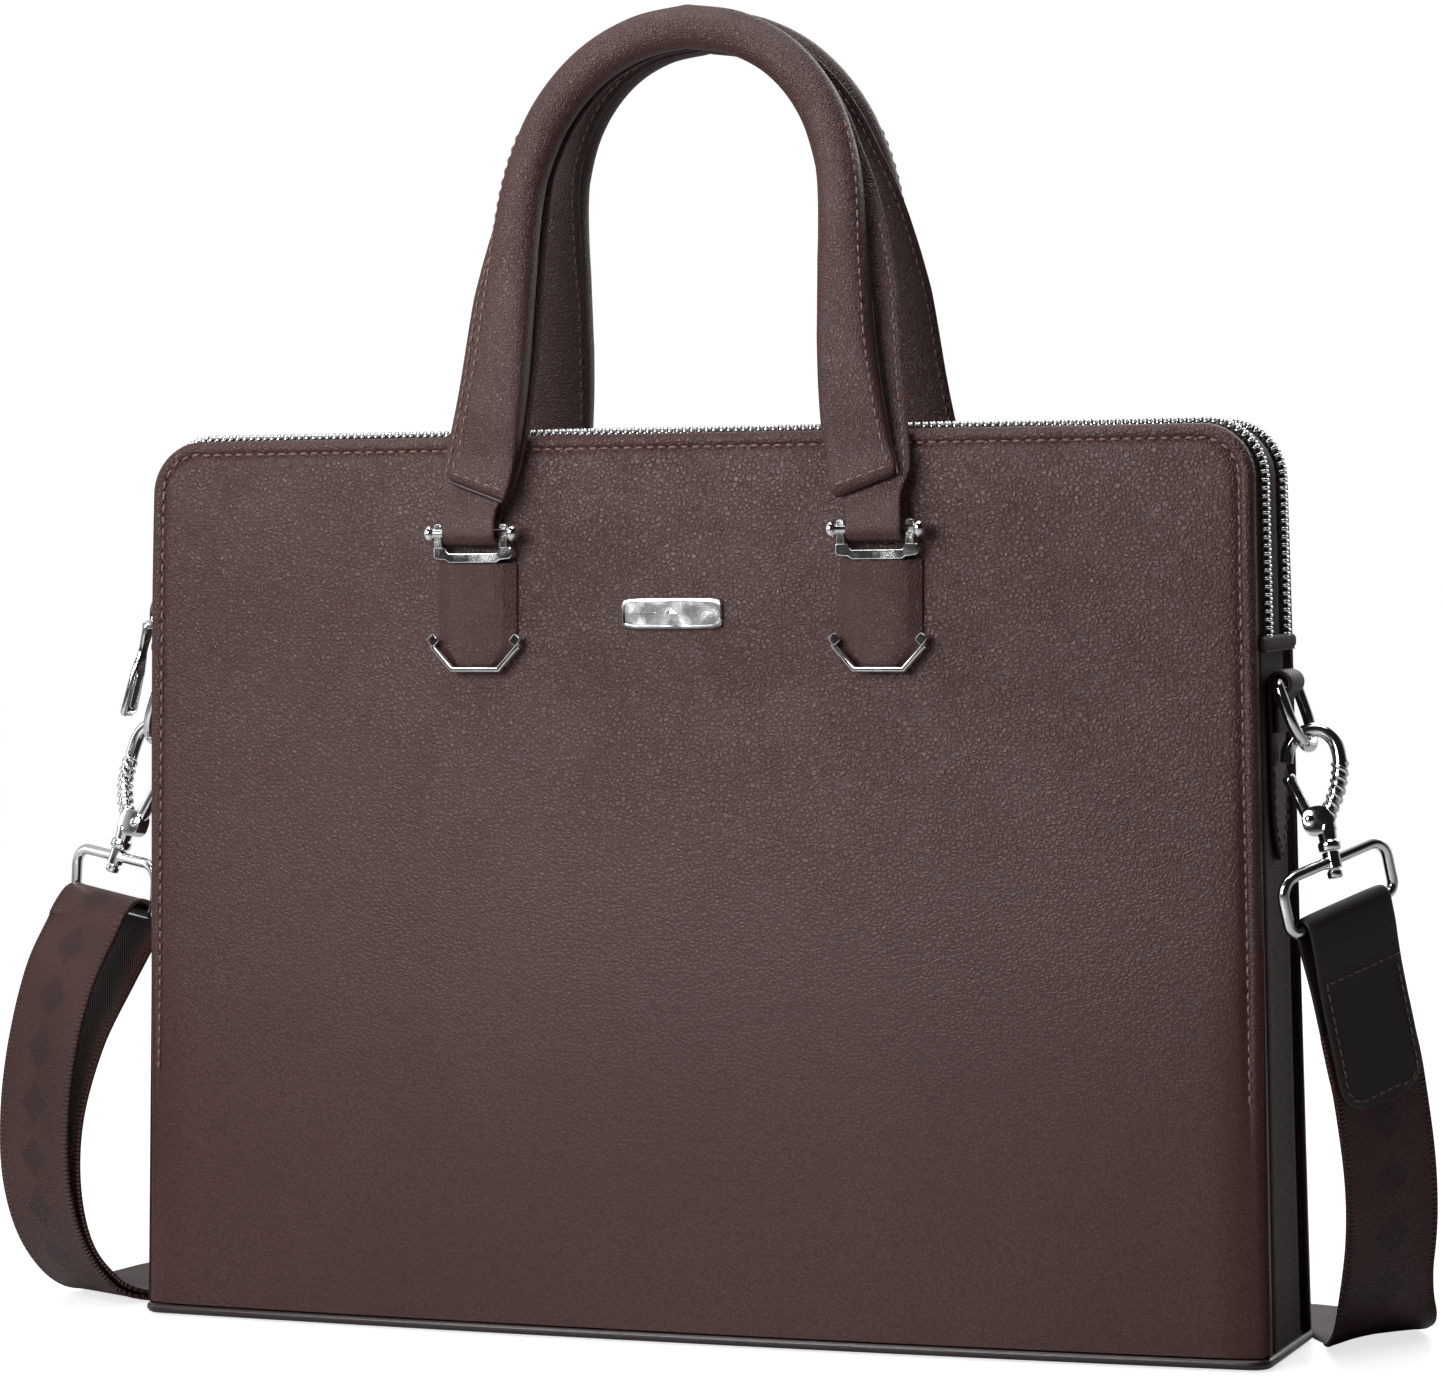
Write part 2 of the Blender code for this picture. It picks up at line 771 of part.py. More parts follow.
def loop_tab(word, side):
    """Leather tab sewn down the gusset and curled over the bar of the D-ring."""
    thick = LOOP_THICK
    inner = D_WIRE + GAP + 0.2
    centre_r = inner + thick / 2
    bar_x = D_BAR_OUT
    seat = thick / 2 + GAP

    # Centre line as (distance outside the gusset face, height), from the pointed foot upwards.
    line = [(seat, 154.0), (seat, 172.0), (seat, 192.0), (seat, D_BAR_Z)]
    for t in range(165, -46, -30):
        turn = math.radians(t)
        line.append((bar_x + centre_r * math.cos(turn), D_BAR_Z + centre_r * math.sin(turn)))
    line.append((seat + thick + 0.4, D_BAR_Z - centre_r - 2.6))
    line.append((seat + thick + 0.35, D_BAR_Z - centre_r - 11.0))
    widths = [3.0] + [LOOP_HALF_WIDTH] * (len(line) - 1)
    rings = []
    for i, (off, z) in enumerate(line):
        before = line[max(i - 1, 0)]
        after = line[min(i + 1, len(line) - 1)]
        turn = Vector((after[0] - before[0], after[1] - before[1])).normalized()
        centre = Vector((side * (side_x(z) - 1.4 + off), 0, z))
        normal = Vector((side * turn.y, 0, -turn.x))
        outline = rectangle(widths[i], -thick / 2, thick / 2)
        rings.append(section_ring(centre, Vector((0, 1, 0)), normal, outline))
    mesh_object(word + "_loop_tab", *loft(rings), leather())


def bar_point(side):
    return Vector((side * (side_x(D_BAR_Z) - 1.4 + D_BAR_OUT), 0, D_BAR_Z))


def d_ring(word, side, tilt):
    """D-shaped wire ring hung on its straight bar, leaning away from the side by tilt."""
    origin = bar_point(side)
    down = Vector((side * math.sin(tilt), 0, -math.cos(tilt)))
    across = Vector((0, 1, 0))
    half = D_HALF_WIDTH
    path = [origin + across * a for a in (-half + 2.0, 0, half - 2.0)]
    path.append(origin + across * half + down * 2.0)
    path.append(origin + across * half + down * (D_DROP - half))
    for t in range(20, 180, 20):
        turn = math.radians(t)
        spot = across * (half * math.cos(turn)) + down * (D_DROP - half + half * math.sin(turn))
        path.append(origin + spot)
    path.append(origin - across * half + down * (D_DROP - half))
    path.append(origin - across * half + down * 2.0)
    out = across.cross(down).normalized()
    rings = wire(path, D_WIRE, 8, closed=True, guide=out)
    mesh_object(word + "_d_ring", *loft(rings, closed=True), chrome(), origin)
    return origin + down * D_DROP


class Fitting:
    """Places the snap hook and strap ring of one side from the ring bar's centre and direction."""

    def __init__(self, bar, heading, tilt, hook_heading, hook_top):
        self.bar = Vector(bar)
        turn = math.radians(heading)
        lean = math.radians(tilt)
        flat = Vector((math.cos(turn), math.sin(turn), 0))
        self.across = flat * math.cos(lean) + Vector((0, 0, math.sin(lean)))
        up = Vector((0, 0, 1))
        self.up = (up - self.across * up.dot(self.across)).normalized()
        self.out = self.across.cross(self.up).normalized() * -1.0
        self.hook_top = Vector(hook_top)
        self.boss = self.bar + self.up * RING_HEIGHT
        self.shank = (self.hook_top - self.boss).normalized()
        spin = math.radians(hook_heading)
        side = Vector((math.cos(spin), math.sin(spin), 0))
        self.hook_side = (side - self.shank * side.dot(self.shank)).normalized()
        self.hook_out = self.shank.cross(self.hook_side).normalized()


def strap_ring(name, fit):
    """Rectangular wire ring with rounded corners."""
    half = RING_HALF_WIDTH
    high = RING_HEIGHT
    r = 3.4
    path = []
    corners = [(half - r, high - r, 0), (-half + r, high - r, 90), (-half + r, r, 180), (half - r, r, 270)]
    for a, b, start in corners:
        for t in (0, 30, 60, 90):
            turn = math.radians(start + t)
            spot = fit.across * (a + r * math.cos(turn)) + fit.up * (b + r * math.sin(turn))
            path.append(fit.bar + spot)
    rings = wire(path, RING_WIRE, 8, closed=True, guide=fit.out)
    return mesh_object(name, *loft(rings, closed=True), chrome(), fit.bar)


def snap_hook(name, fit, span, mirror):
    """Swivel head, shank and hooked wire; the gate closes its open side."""
    head_low = HEAD_LOW
    rings = []

    def at(side_mm, up_mm):
        return fit.boss + fit.hook_side * side_mm * mirror + fit.shank * up_mm

    # Cheeks of the swivel head sit over the ring's top wire, then neck, body and the bend.
    profile = [(head_low, 3.2), (head_low + 2.2, 3.6), (head_low + 3.4, 2.3), (head_low + 5.4, 2.1)]
    for rise, radius in profile:
        rings.append(section_ring(at(0, rise), fit.hook_side, fit.hook_out, circle(radius, 10)))
    points = [at(a, head_low + 5.4 + b) for a, b in hook_line(span)]
    for i, point in enumerate(points):
        after = points[min(i + 1, len(points) - 1)]
        before = points[max(i - 1, 0)]
        along = (after - before).normalized()
        side = fit.hook_out.cross(along).normalized()
        thick = 3.0 if i < 2 else HOOK_WIRE
        outline = [(a * thick, b * min(thick, 2.4)) for a, b in circle(1.0, 10)]
        rings.append(section_ring(point, side, fit.hook_out, outline))
    return mesh_object(name, *loft(rings), chrome(), fit.boss)


def hook_line(span):
    """Centre line of the hooked wire as (sideways, up) from the neck."""
    return [
        (0.0, 2.2),
        (1.8, 6.0),
        (5.0, 11.0),
        (7.4, 17.0),
        (8.2, span - 14.0),
        (7.4, span - 9.0),
        (4.6, span - 5.6),
        (0.6, span - 4.6),
        (-3.4, span - 5.8),
        (-6.6, span - 9.0),
        (-8.0, span - 13.4),
    ]


def hook_gate(name, fit, span, mirror):
    """Sprung lever from the rivet in the hook's body to its nose."""

    def at(side_mm, up_mm):
        return fit.boss + fit.hook_side * side_mm * mirror + fit.shank * up_mm

    neck = HEAD_LOW + 5.4
    low = (-4.2, neck + 4.6)
    high = (-8.4, neck + span - 17.2)
    origin = at(*low)
    tip = at(*high)
    along = (tip - origin).normalized()
    side = fit.hook_out.cross(along).normalized()
    length = (tip - origin).length
    rings = []
    for share, wide, deep in ((-0.04, 1.3, 2.0), (0.1, 1.8, 2.6), (0.55, 1.4, 2.4), (1.0, 1.2, 1.8)):
        outline = [(a * wide, b * deep) for a, b in circle(1.0, 8)]
        rings.append(section_ring(origin + along * length * share, side, fit.hook_out, outline))
    return mesh_object(name, *loft(rings), chrome(), origin)


# ---------------------------------------------------------------- shoulder strap


def ribbon(name, stations, width, thick, stock):
    """A flat strip through (point, width direction) stations."""
    rings = []
    for i, (point, across) in enumerate(stations):
        before = stations[max(i - 1, 0)][0]
        after = stations[min(i + 1, len(stations) - 1)][0]
        along = (after - before).normalized()
        side = (across - along * across.dot(along)).normalized()
        normal = along.cross(side).normalized()
        outline = rectangle(width / 2, -thick / 2, thick / 2)
        rings.append(section_ring(point, side, normal, outline))
    return mesh_object(name, *loft(rings), stock)


# Centres of the strap ring bars, their headings and tilts.
LEFT_BAR = (-212.5, -3.0, 132.0)
LEFT_HEADING = -26.0
LEFT_TILT = -6.0
RIGHT_BAR = (207.5, -2.0, 137.0)
RIGHT_HEADING = 56.0
RIGHT_TILT = 15.0
STRAP_Y = 67.0
STRAP_SLIDER_X = 22.0
LOOP_GAP = RING_WIRE + GAP + 0.2 + WEB_THICK / 2

# Outer run from the left ring bar down to the floor: (outward, sideways, height, heading).
LEFT_OUTER = [
    (13.5, 0.0, 126.0, -26),
    (21.5, 2.0, 110.0, -26),
    (27.0, 4.5, 88.0, -26),
    (29.5, 6.5, 64.0, -26),
    (28.5, 7.5, 41.0, -26),
    (22.5, 7.5, 21.0, -26),
    (12.0, 6.0, 6.5, -26),
    (0.0, 4.0, 1.1, -26),
]
# Distance between the two layers, from the floor up to the bar.
LAYER_GAPS = [2.1, 2.3, 2.7, 4.0, 6.0, 11.0, 17.0, 17.6]
# Floor run of the outer layer: (x, y, z, heading of the strap's width).
FLOOR_RUN = [
    (-212.0, 14.0, 1.0, -26),
    (-210.5, 28.0, 1.0, -30),
    (-208.0, 42.0, 1.0, -40),
    (-199.0, 57.0, 1.0, -57),
    (-181.0, 66.0, 1.0, -76),
    (-150.0, STRAP_Y, 1.0, -90),
    (-90.0, STRAP_Y, 1.0, -90),
    (-30.0, STRAP_Y, 1.0, -90),
    (STRAP_SLIDER_X - 24.0, STRAP_Y, 1.0, -90),
    (STRAP_SLIDER_X - 13.0, STRAP_Y, 1.6, -90),
    (STRAP_SLIDER_X - 5.5, STRAP_Y, 7.0, -90),
    (STRAP_SLIDER_X, STRAP_Y, 8.6, -90),
    (STRAP_SLIDER_X + 5.5, STRAP_Y, 7.0, -90),
    (STRAP_SLIDER_X + 13.0, STRAP_Y, 1.6, -90),
    (STRAP_SLIDER_X + 24.0, STRAP_Y, 1.0, -90),
    (70.0, STRAP_Y, 1.0, -90),
    (110.0, STRAP_Y, 1.0, -90),
    (150.0, STRAP_Y - 1.0, 1.0, -94),
    (177.0, 65.0, 1.0, -107),
    (194.5, 54.0, 1.0, -119),
    (206.5, 40.0, 1.3, -124),
    (212.0, 27.0, 7.0, -124),
    (215.5, 18.5, 20.0, -124),
    (218.0, 15.5, 38.0, -124),
    (218.0, 13.5, 58.0, -124),
]


def heading_vector(degrees):
    return Vector((math.cos(math.radians(degrees)), math.sin(math.radians(degrees)), 0))


def left_point(out_mm, sideways, height):
    across = heading_vector(LEFT_HEADING)
    away = Vector((across.y, -across.x, 0))
    return Vector((LEFT_BAR[0], LEFT_BAR[1], height)) + away * out_mm - across * sideways


def build_strap(right):
    """Webbing: from the slider back to the left ring, round it, down and behind the bag to the right."""
    # Inner layer, from the slider along the floor above the outer layer, then up to the bar.
    rows = sewn_end(STRAP_SLIDER_X)
    inner_floor = [r for r in FLOOR_RUN if r[0] < STRAP_SLIDER_X - 30]
    for fx, fy, fz, turn in reversed(inner_floor):
        rows.append((fx, fy, fz + WEB_THICK + 0.5, turn))
    for (away, sideways, height, turn), gap in zip(reversed(LEFT_OUTER), LAYER_GAPS):
        spot = left_point(away - gap, sideways, height + (1.6 if height < 10 else 0.0))
        rows.append((spot.x, spot.y, spot.z, turn))
    bar_top = LEFT_BAR[2] + LOOP_GAP + 1.4
    low_turn = LEFT_BAR[2] - 0.6
    over_bar = ((-2.6, LEFT_BAR[2] + 0.8), (0.6, bar_top), (5.5, bar_top - 0.2), (10.3, low_turn))
    for away, height in over_bar:
        spot = left_point(away, 0.0, height)
        rows.append((spot.x, spot.y, spot.z, LEFT_HEADING))
    for away, sideways, height, turn in LEFT_OUTER:
        spot = left_point(away, sideways, height)
        rows.append((spot.x, spot.y, spot.z, turn))
    rows += FLOOR_RUN
    # Into the sewn leather end.
    for drop in (56.0, 44.0, 34.0):
        spot = right.bar - right.up * drop
        rows.append((spot.x, spot.y, spot.z, RIGHT_HEADING - 180))
    curve = smooth_path([(a, b, c) for a, b, c, _ in rows], 2)
    turns = smooth_path([(d, 0, 0) for _, _, _, d in rows], 2)
    stations = []
    for point, turn in zip(curve, turns):
        across = heading_vector(turn.x)
        if point.x < 0:
            share = min(max((point.z - 90.0) / 25.0, 0.0), 1.0)
            across.z = math.sin(math.radians(LEFT_TILT)) * share
        stations.append((point, across))
    # The tilt of the right end follows the ring.
    for back in range(1, 6):
        share = (6 - back) / 5
        point, across = stations[-back]
        stations[-back] = (point, (across * (1 - share) - right.across * share).normalized())
    ribbon("strap_webbing", stations, WEB_WIDTH, WEB_THICK, webbing_cloth())


def sewn_end(x):
    """Sewn end of the webbing under the strap slider at x."""
    return [
        (x + 5.0, STRAP_Y, 2.0, -90),
        (x - 3.0, STRAP_Y, 2.2, -90),
        (x - 12.0, STRAP_Y, 2.6, -90),
    ]


def strap_slider():
    """Three-bar slide lying on the doubled webbing."""
    low = 4.3
    high = 6.5

    def place(a, b, level):
        return Vector((STRAP_SLIDER_X + a, STRAP_Y + b, level))

    half_x = 14.0
    half_y = 23.0
    bar = 2.6
    hole = half_y - 3.0
    xs = [-half_x, -half_x + bar, -bar / 2, bar / 2, half_x - bar, half_x]
    ys = [-half_y, -hole, hole, half_y]
    work = bmesh.new()
    made = {}

    def vert(i, j, level):
        key = (i, j, level)
        if key not in made:
            made[key] = work.verts.new(place(xs[i], ys[j], level))
        return made[key]

    solid = {(i, j) for i in range(5) for j in range(3) if not (j == 1 and i in (1, 3))}
    for i, j in solid:
        corners = ((i, j), (i + 1, j), (i + 1, j + 1), (i, j + 1))
        work.faces.new([vert(*corner, high) for corner in corners])
        work.faces.new([vert(*corner, low) for corner in reversed(corners)])
        for (di, dj), (p, q) in (
            ((-1, 0), ((i, j), (i, j + 1))),
            ((1, 0), ((i + 1, j), (i + 1, j + 1))),
            ((0, -1), ((i, j), (i + 1, j))),
            ((0, 1), ((i, j + 1), (i + 1, j + 1))),
        ):
            if (i + di, j + dj) not in solid:
                work.faces.new([vert(*p, low), vert(*q, low), vert(*q, high), vert(*p, high)])
    work.verts.index_update()
    points = [v.co.copy() for v in work.verts]
    faces = [[v.index for v in f.verts] for f in work.faces]
    work.free()
    mesh_object("strap_slider", points, faces, chrome())


def strap_end_leather(right):
    """Leather end folded over the right ring bar and sewn onto the webbing."""
    thick = 1.7
    radius = RING_WIRE + GAP + 0.2 + thick / 2
    sheet = WEB_THICK / 2 + GAP + thick / 2
    line = [(-sheet, 58.0), (-sheet, 40.0), (-sheet - 0.1, 22.0), (-radius, 8.0), (-radius, 0.0)]
    line += [
        (radius * math.cos(math.radians(t)), -radius * math.sin(math.radians(t)))
        for t in range(150, 0, -30)
    ]
    line += [(radius, 0.0), (radius, 8.0), (sheet + 0.1, 22.0), (sheet, 40.0), (sheet, 58.0)]
    half = 17.5
    rings = []
    for i, (off, drop) in enumerate(line):
        before = line[max(i - 1, 0)]
        after = line[min(i + 1, len(line) - 1)]
        turn = Vector((after[0] - before[0], after[1] - before[1])).normalized()
        spot = right.bar + right.out * off - right.up * drop
        normal = right.out * turn.y + right.up * turn.x
        wide = half - 5.0 * (i in (0, len(line) - 1))
        rings.append(section_ring(spot, right.across, normal, rectangle(wide, -thick / 2, thick / 2)))
    mesh_object("strap_end_leather", *loft(rings), leather())


def build_side_fittings():
    sides = {}
    for word, side, bar, heading, tilt, hook_turn in (
        ("left", -1, LEFT_BAR, LEFT_HEADING, LEFT_TILT, LEFT_HOOK_TURN),
        ("right", 1, RIGHT_BAR, RIGHT_HEADING, RIGHT_TILT, RIGHT_HOOK_TURN),
    ):
        loop_tab(word, side)
        low = d_ring(word, side, D_TILT)
        # The inside of the hook's bend sits just over the lowest point of the D-ring.
        top = low + Vector((0, 0, HOOK_CLEAR))
        fit = Fitting(bar, heading, tilt, hook_turn, top)
        span = (fit.hook_top - fit.boss).length
        ring = strap_ring(word + "_strap_ring", fit)
        hook = snap_hook(word + "_snap_hook", fit, span, side)
        gate = hook_gate(word + "_hook_gate", fit, span, side)
        parent_to(hook, ring)
        parent_to(gate, hook)
        sides[word] = fit
    return sides


def clear_scene():
    for thing in list(bpy.data.objects):
        bpy.data.objects.remove(thing, do_unlink=True)


def main():
    clear_scene()
    build_faces()
    build_base()
    build_zips()
    build_divider()
    for word, side in (("front", -1), ("rear", 1)):
        zip_slider(word, side)
    build_badge()
    build_handles()
    sides = build_side_fittings()
    build_strap(sides["right"])
    strap_end_leather(sides["right"])
    strap_slider()


main()
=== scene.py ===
"""Looks of a slim double-zip leather briefcase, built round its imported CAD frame.

Lengths in this file are millimetres; add_piece turns them into metres.
"""

import json
import math

import bmesh
import bpy
from mathutils import Matrix, Vector


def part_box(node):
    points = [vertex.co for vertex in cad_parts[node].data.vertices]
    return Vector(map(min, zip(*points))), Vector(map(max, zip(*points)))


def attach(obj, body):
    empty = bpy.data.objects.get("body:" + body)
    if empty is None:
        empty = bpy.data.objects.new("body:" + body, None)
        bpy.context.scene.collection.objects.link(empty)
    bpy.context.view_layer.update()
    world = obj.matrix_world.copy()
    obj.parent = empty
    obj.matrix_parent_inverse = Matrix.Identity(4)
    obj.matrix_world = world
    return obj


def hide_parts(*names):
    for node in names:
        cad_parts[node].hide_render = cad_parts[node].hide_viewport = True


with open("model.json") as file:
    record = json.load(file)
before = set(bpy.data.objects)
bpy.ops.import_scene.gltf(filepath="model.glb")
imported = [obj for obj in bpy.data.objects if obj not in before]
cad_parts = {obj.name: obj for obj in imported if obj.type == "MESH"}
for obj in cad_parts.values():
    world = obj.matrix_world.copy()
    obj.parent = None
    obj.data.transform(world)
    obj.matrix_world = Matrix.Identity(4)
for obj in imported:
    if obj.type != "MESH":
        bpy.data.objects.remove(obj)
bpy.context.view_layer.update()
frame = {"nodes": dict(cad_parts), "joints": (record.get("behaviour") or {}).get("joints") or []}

MM = 0.001
X = Vector((1, 0, 0))
Y = Vector((0, 1, 0))
Z = Vector((0, 0, 1))
FACES = (("front", -1), ("rear", 1))
ENDS = (("left", -1), ("right", 1))


def joint(name):
    """(position in millimetres, axis) of a joint of the frame."""
    found = next(j for j in frame["joints"] if j["name"] == name)
    return Vector(found.get("pos_m", (0, 0, 0))) / MM, Vector(found["axis"]).normalized()


def node_box(name):
    """(middle, half size) of a CAD node, in millimetres."""
    low, high = (Vector(corner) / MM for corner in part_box(name))
    return (low + high) / 2, (high - low) / 2


# Body shape, the same curves as the CAD solids.
BODY_HEIGHT = 287.0
HALF_WIDTH_BASE = 190.0
HALF_WIDTH_TOP = 185.5
HALF_DEPTH_BASE = 31.0
HALF_DEPTH_TOP = 24.0
CORNER_RADIUS = 17.0
FACE_CROWN = 5.0
CROWN_TOP = 205.0
PANEL_BOTTOM = 3.9
RIM_DEPTH = 5.0
SEAM_INSET = 4.5
STITCH_PITCH = 3.9
STITCH_LOW = 80.0
ZIP_Y = 11.5
ZIP_END_Z = 222.0


# ---------------------------------------------------------------- materials


class Nodes:
    """Short ways to add nodes to the tree of a material or world, and to feed its shader."""

    def __init__(self, owner, shader="Principled BSDF"):
        owner.use_nodes = True
        self.owner = owner
        self.tree = owner.node_tree
        self.shader = self.tree.nodes[shader]
        self.coords = self.add("TexCoord").outputs
        self.place = self.coords["Object"]

    def feed(self, socket, value):
        if isinstance(value, bpy.types.NodeSocket):
            self.tree.links.new(value, socket)
        else:
            socket.default_value = value

    def add(self, kind, settings=None, **inputs):
        """Make a node; inputs are values or sockets, named with _ for spaces or iN for the Nth."""
        made = self.tree.nodes.new("ShaderNode" + kind)
        for key, value in (settings or {}).items():
            setattr(made, key, value)
        for key, value in inputs.items():
            self.feed(made.inputs[int(key[1:]) if key[1:].isdigit() else key.replace("_", " ")], value)
        return made

    def put(self, **inputs):
        """Feed the shader's own inputs."""
        for key, value in inputs.items():
            self.feed(self.shader.inputs[key.replace("_", " ")], value)
        return self.owner

    def math(self, operation, a, b=0.0, c=0.0):
        return self.add("Math", {"operation": operation}, i0=a, i1=b, i2=c).outputs[0]

    def ramp(self, value, low, high, low_out=0.0, high_out=1.0):
        return self.add(
            "MapRange", {"interpolation_type": "SMOOTHSTEP"}, Value=value,
            From_Min=low, From_Max=high, To_Min=low_out, To_Max=high_out,
        ).outputs[0]

    def mix(self, share, a, b):
        """Blend of two colours."""
        made = self.add("Mix", {"data_type": "RGBA"}, i0=share)
        for index, value in ((6, a), (7, b)):
            self.feed(made.inputs[index], (*value, 1.0) if isinstance(value, tuple) else value)
        return made.outputs[2]

    def blend(self, share, a, b):
        """Blend of two numbers."""
        return self.add("Mix", {"data_type": "FLOAT"}, i0=share, i2=a, i3=b).outputs[0]

    def noise(self, scale, detail=3.0, rough=0.55, vector=None):
        vector = self.place if vector is None else vector
        return self.add("TexNoise", Vector=vector, Scale=scale, Detail=detail, Roughness=rough).outputs["Fac"]

    def wave(self, way, scale, **inputs):
        made = self.add("TexWave", {"bands_direction": way}, Vector=self.place, Scale=scale, **inputs)
        return made.outputs["Fac"]

    def bump(self, height, strength, distance):
        self.put(Normal=self.add("Bump", Strength=strength, Distance=distance, Height=height).outputs[0])


def new_material(name):
    return Nodes(bpy.data.materials.new(name))


def shade(colour, share):
    return tuple(c * share for c in colour)


def leather(name, dark, light, cell=1.15, relief=0.30, gloss=0.45, fade=None, shine=0.45, coat=0.0):
    """Pebbled coated leather, with painted shade in the grooves between its pebbles. cell is the grain's size
    in mm; the grain grows over fade, (low z, high z).
    """
    work = new_material(name)
    warp = work.add("TexNoise", Vector=work.place, Scale=420.0, Detail=2.0).outputs["Color"]
    shifted = work.add(
        "VectorMath", {"operation": "MULTIPLY_ADD"}, i0=warp, i1=(0.0011, 0.0011, 0.0011), i2=work.place
    ).outputs[0]

    def cells(scale, high):
        edges = work.add("TexVoronoi", {"feature": "DISTANCE_TO_EDGE"}, Vector=shifted, Scale=scale / cell)
        return work.ramp(edges.outputs["Distance"], 0.0, high)

    pebble = cells(1000.0, 0.26)
    patch = work.ramp(work.noise(55.0), 0.34, 0.66, 0.72, 1.0)
    height = work.math("MULTIPLY", work.math("MULTIPLY_ADD", cells(2100.0, 0.3), 0.35, pebble), patch)
    if fade:
        level = work.add("SeparateXYZ", Vector=work.place).outputs[2]
        height = work.math("MULTIPLY", height, work.ramp(level, fade[0] * MM, fade[1] * MM, 0.14, 1.0))
    creases = work.noise(300.0, 4.0, 0.6, shifted)
    work.bump(work.math("MULTIPLY_ADD", creases, 0.5, height), relief, 0.00022)
    tone = work.ramp(work.noise(14.0, 4.0), 0.2, 0.8)
    # Painted shade: the colour darkens in the grooves between the pebbles, where the relief dips.
    groove_shade = work.ramp(pebble, 0.0, 0.7, 0.75, 0.0)
    if coat:
        work.put(Coat_Weight=coat, Coat_Roughness=0.22)
    return work.put(
        Base_Color=work.mix(groove_shade, work.mix(tone, dark, light), shade(dark, 0.55)),
        Roughness=work.ramp(height, 0.0, 1.2, gloss + 0.12, gloss), Specular_IOR_Level=shine,
    )


def chrome(name, tint=0.86, rough=0.07, brushed=0.0):
    """Polished plate with faint smudges; brushed adds fine scratches."""
    work = new_material(name)
    if brushed:
        work.bump(work.noise(2200.0, 2.0), brushed, 0.00004)
    return work.put(
        Base_Color=work.mix(work.noise(60.0, 2.0), (tint * 0.93, tint * 0.93, tint * 0.95), (tint,) * 3),
        Roughness=work.ramp(work.noise(180.0, 4.0), 0.35, 0.75, rough, rough + 0.10), Metallic=1.0,
    )


def woven(name, dark, light, along, across, relief=0.4, rough=0.75):
    """Cloth of crossing yarns, with painted shade in the gaps between them; along and across are yarns per
    metre.
    """
    work = new_material(name)
    first, second = (
        work.wave(way, count / 20.0 * 6.2832, Distortion=0.4, Detail=1.0)
        for way, count in (("X", along), ("Z", across))
    )
    height = work.math("MULTIPLY", first, second)
    work.bump(height, relief, 0.0002)
    # Painted shade: the colour darkens where the yarns dip, in the gaps between them.
    groove_shade = work.ramp(height, 0.0, 0.5, 0.6, 0.0)
    return work.put(
        Base_Color=work.mix(groove_shade, work.mix(work.noise(40.0), dark, light), shade(dark, 0.5)),
        Roughness=work.ramp(height, 0.0, 1.0, rough + 0.1, rough - 0.05),
    )


def thread(name, dark, light):
    """Twisted sewing thread with a slight sheen; the twist is painted lighter on its ridges and darker in its
    hollows, as painted highlight and shade.
    """
    work = new_material(name)
    twist = work.wave("DIAGONAL", 700.0, Distortion=1.0)
    work.bump(twist, 0.5, 0.0001)
    # Painted highlight and shade: the colour follows the twist's relief, light on its ridges and dark between
    # them.
    return work.put(Base_Color=work.mix(twist, dark, light), Roughness=0.5)


def webbing_cloth(name, dark, light):
    """Satin strap webbing read along its length: diagonal weave, ribbed selvedges with painted shade between
    the ribs, a dark woven figure.
    """
    work = new_material(name)

    def ripple(value, rate):
        return work.math("SINE", work.math("MULTIPLY", value, rate))

    # across runs 0..1 over the width and along is in millimetres
    strip = work.add("UVMap", {"uv_map": "strip"}).outputs["UV"]
    across, along, _ = work.add("SeparateXYZ", Vector=strip).outputs
    edge = work.math("ABSOLUTE", work.math("SUBTRACT", across, 0.5))
    selvedge = work.ramp(edge, 0.432, 0.440)
    slant = work.math("MULTIPLY_ADD", across, 38.0, work.math("MULTIPLY", along, 0.8))
    weave = work.math("MULTIPLY_ADD", ripple(along, 7.0), 0.6, ripple(slant, 5.6))
    rib = ripple(along, 4.2)
    height = work.blend(selvedge, work.math("MULTIPLY", weave, 0.34), rib)
    work.bump(height, 0.9, 0.00025)
    base = work.mix(work.ramp(work.noise(30.0), 0.3, 0.7), dark, light)
    # Painted shade: darker in the hollows between the selvedge ribs.
    groove_shade = work.math("MULTIPLY", work.ramp(rib, -1.0, 0.2, 0.55, 0.0), selvedge)
    base = work.mix(groove_shade, base, shade(dark, 0.35))
    # A plain tonal figure of small diamonds down the middle of the band.
    reach = work.math("MULTIPLY_ADD", edge, 38.0, work.math("PINGPONG", along, 9.0))
    figure = work.math("MULTIPLY", work.ramp(reach, 7.6, 7.0), 0.55)
    return work.put(
        Base_Color=work.mix(figure, base, shade(dark, 0.30)),
        Roughness=work.ramp(height, -1.0, 1.0, 0.50, 0.32), Specular_IOR_Level=0.30,
        Sheen_Weight=0.05, Sheen_Roughness=0.35, Sheen_Tint=(0.75, 0.55, 0.5, 1.0),
    )


BROWN_DARK = (0.020, 0.0072, 0.0060)
BROWN = (0.046, 0.0150, 0.0115)
BROWN_LIGHT = (0.060, 0.0215, 0.0170)

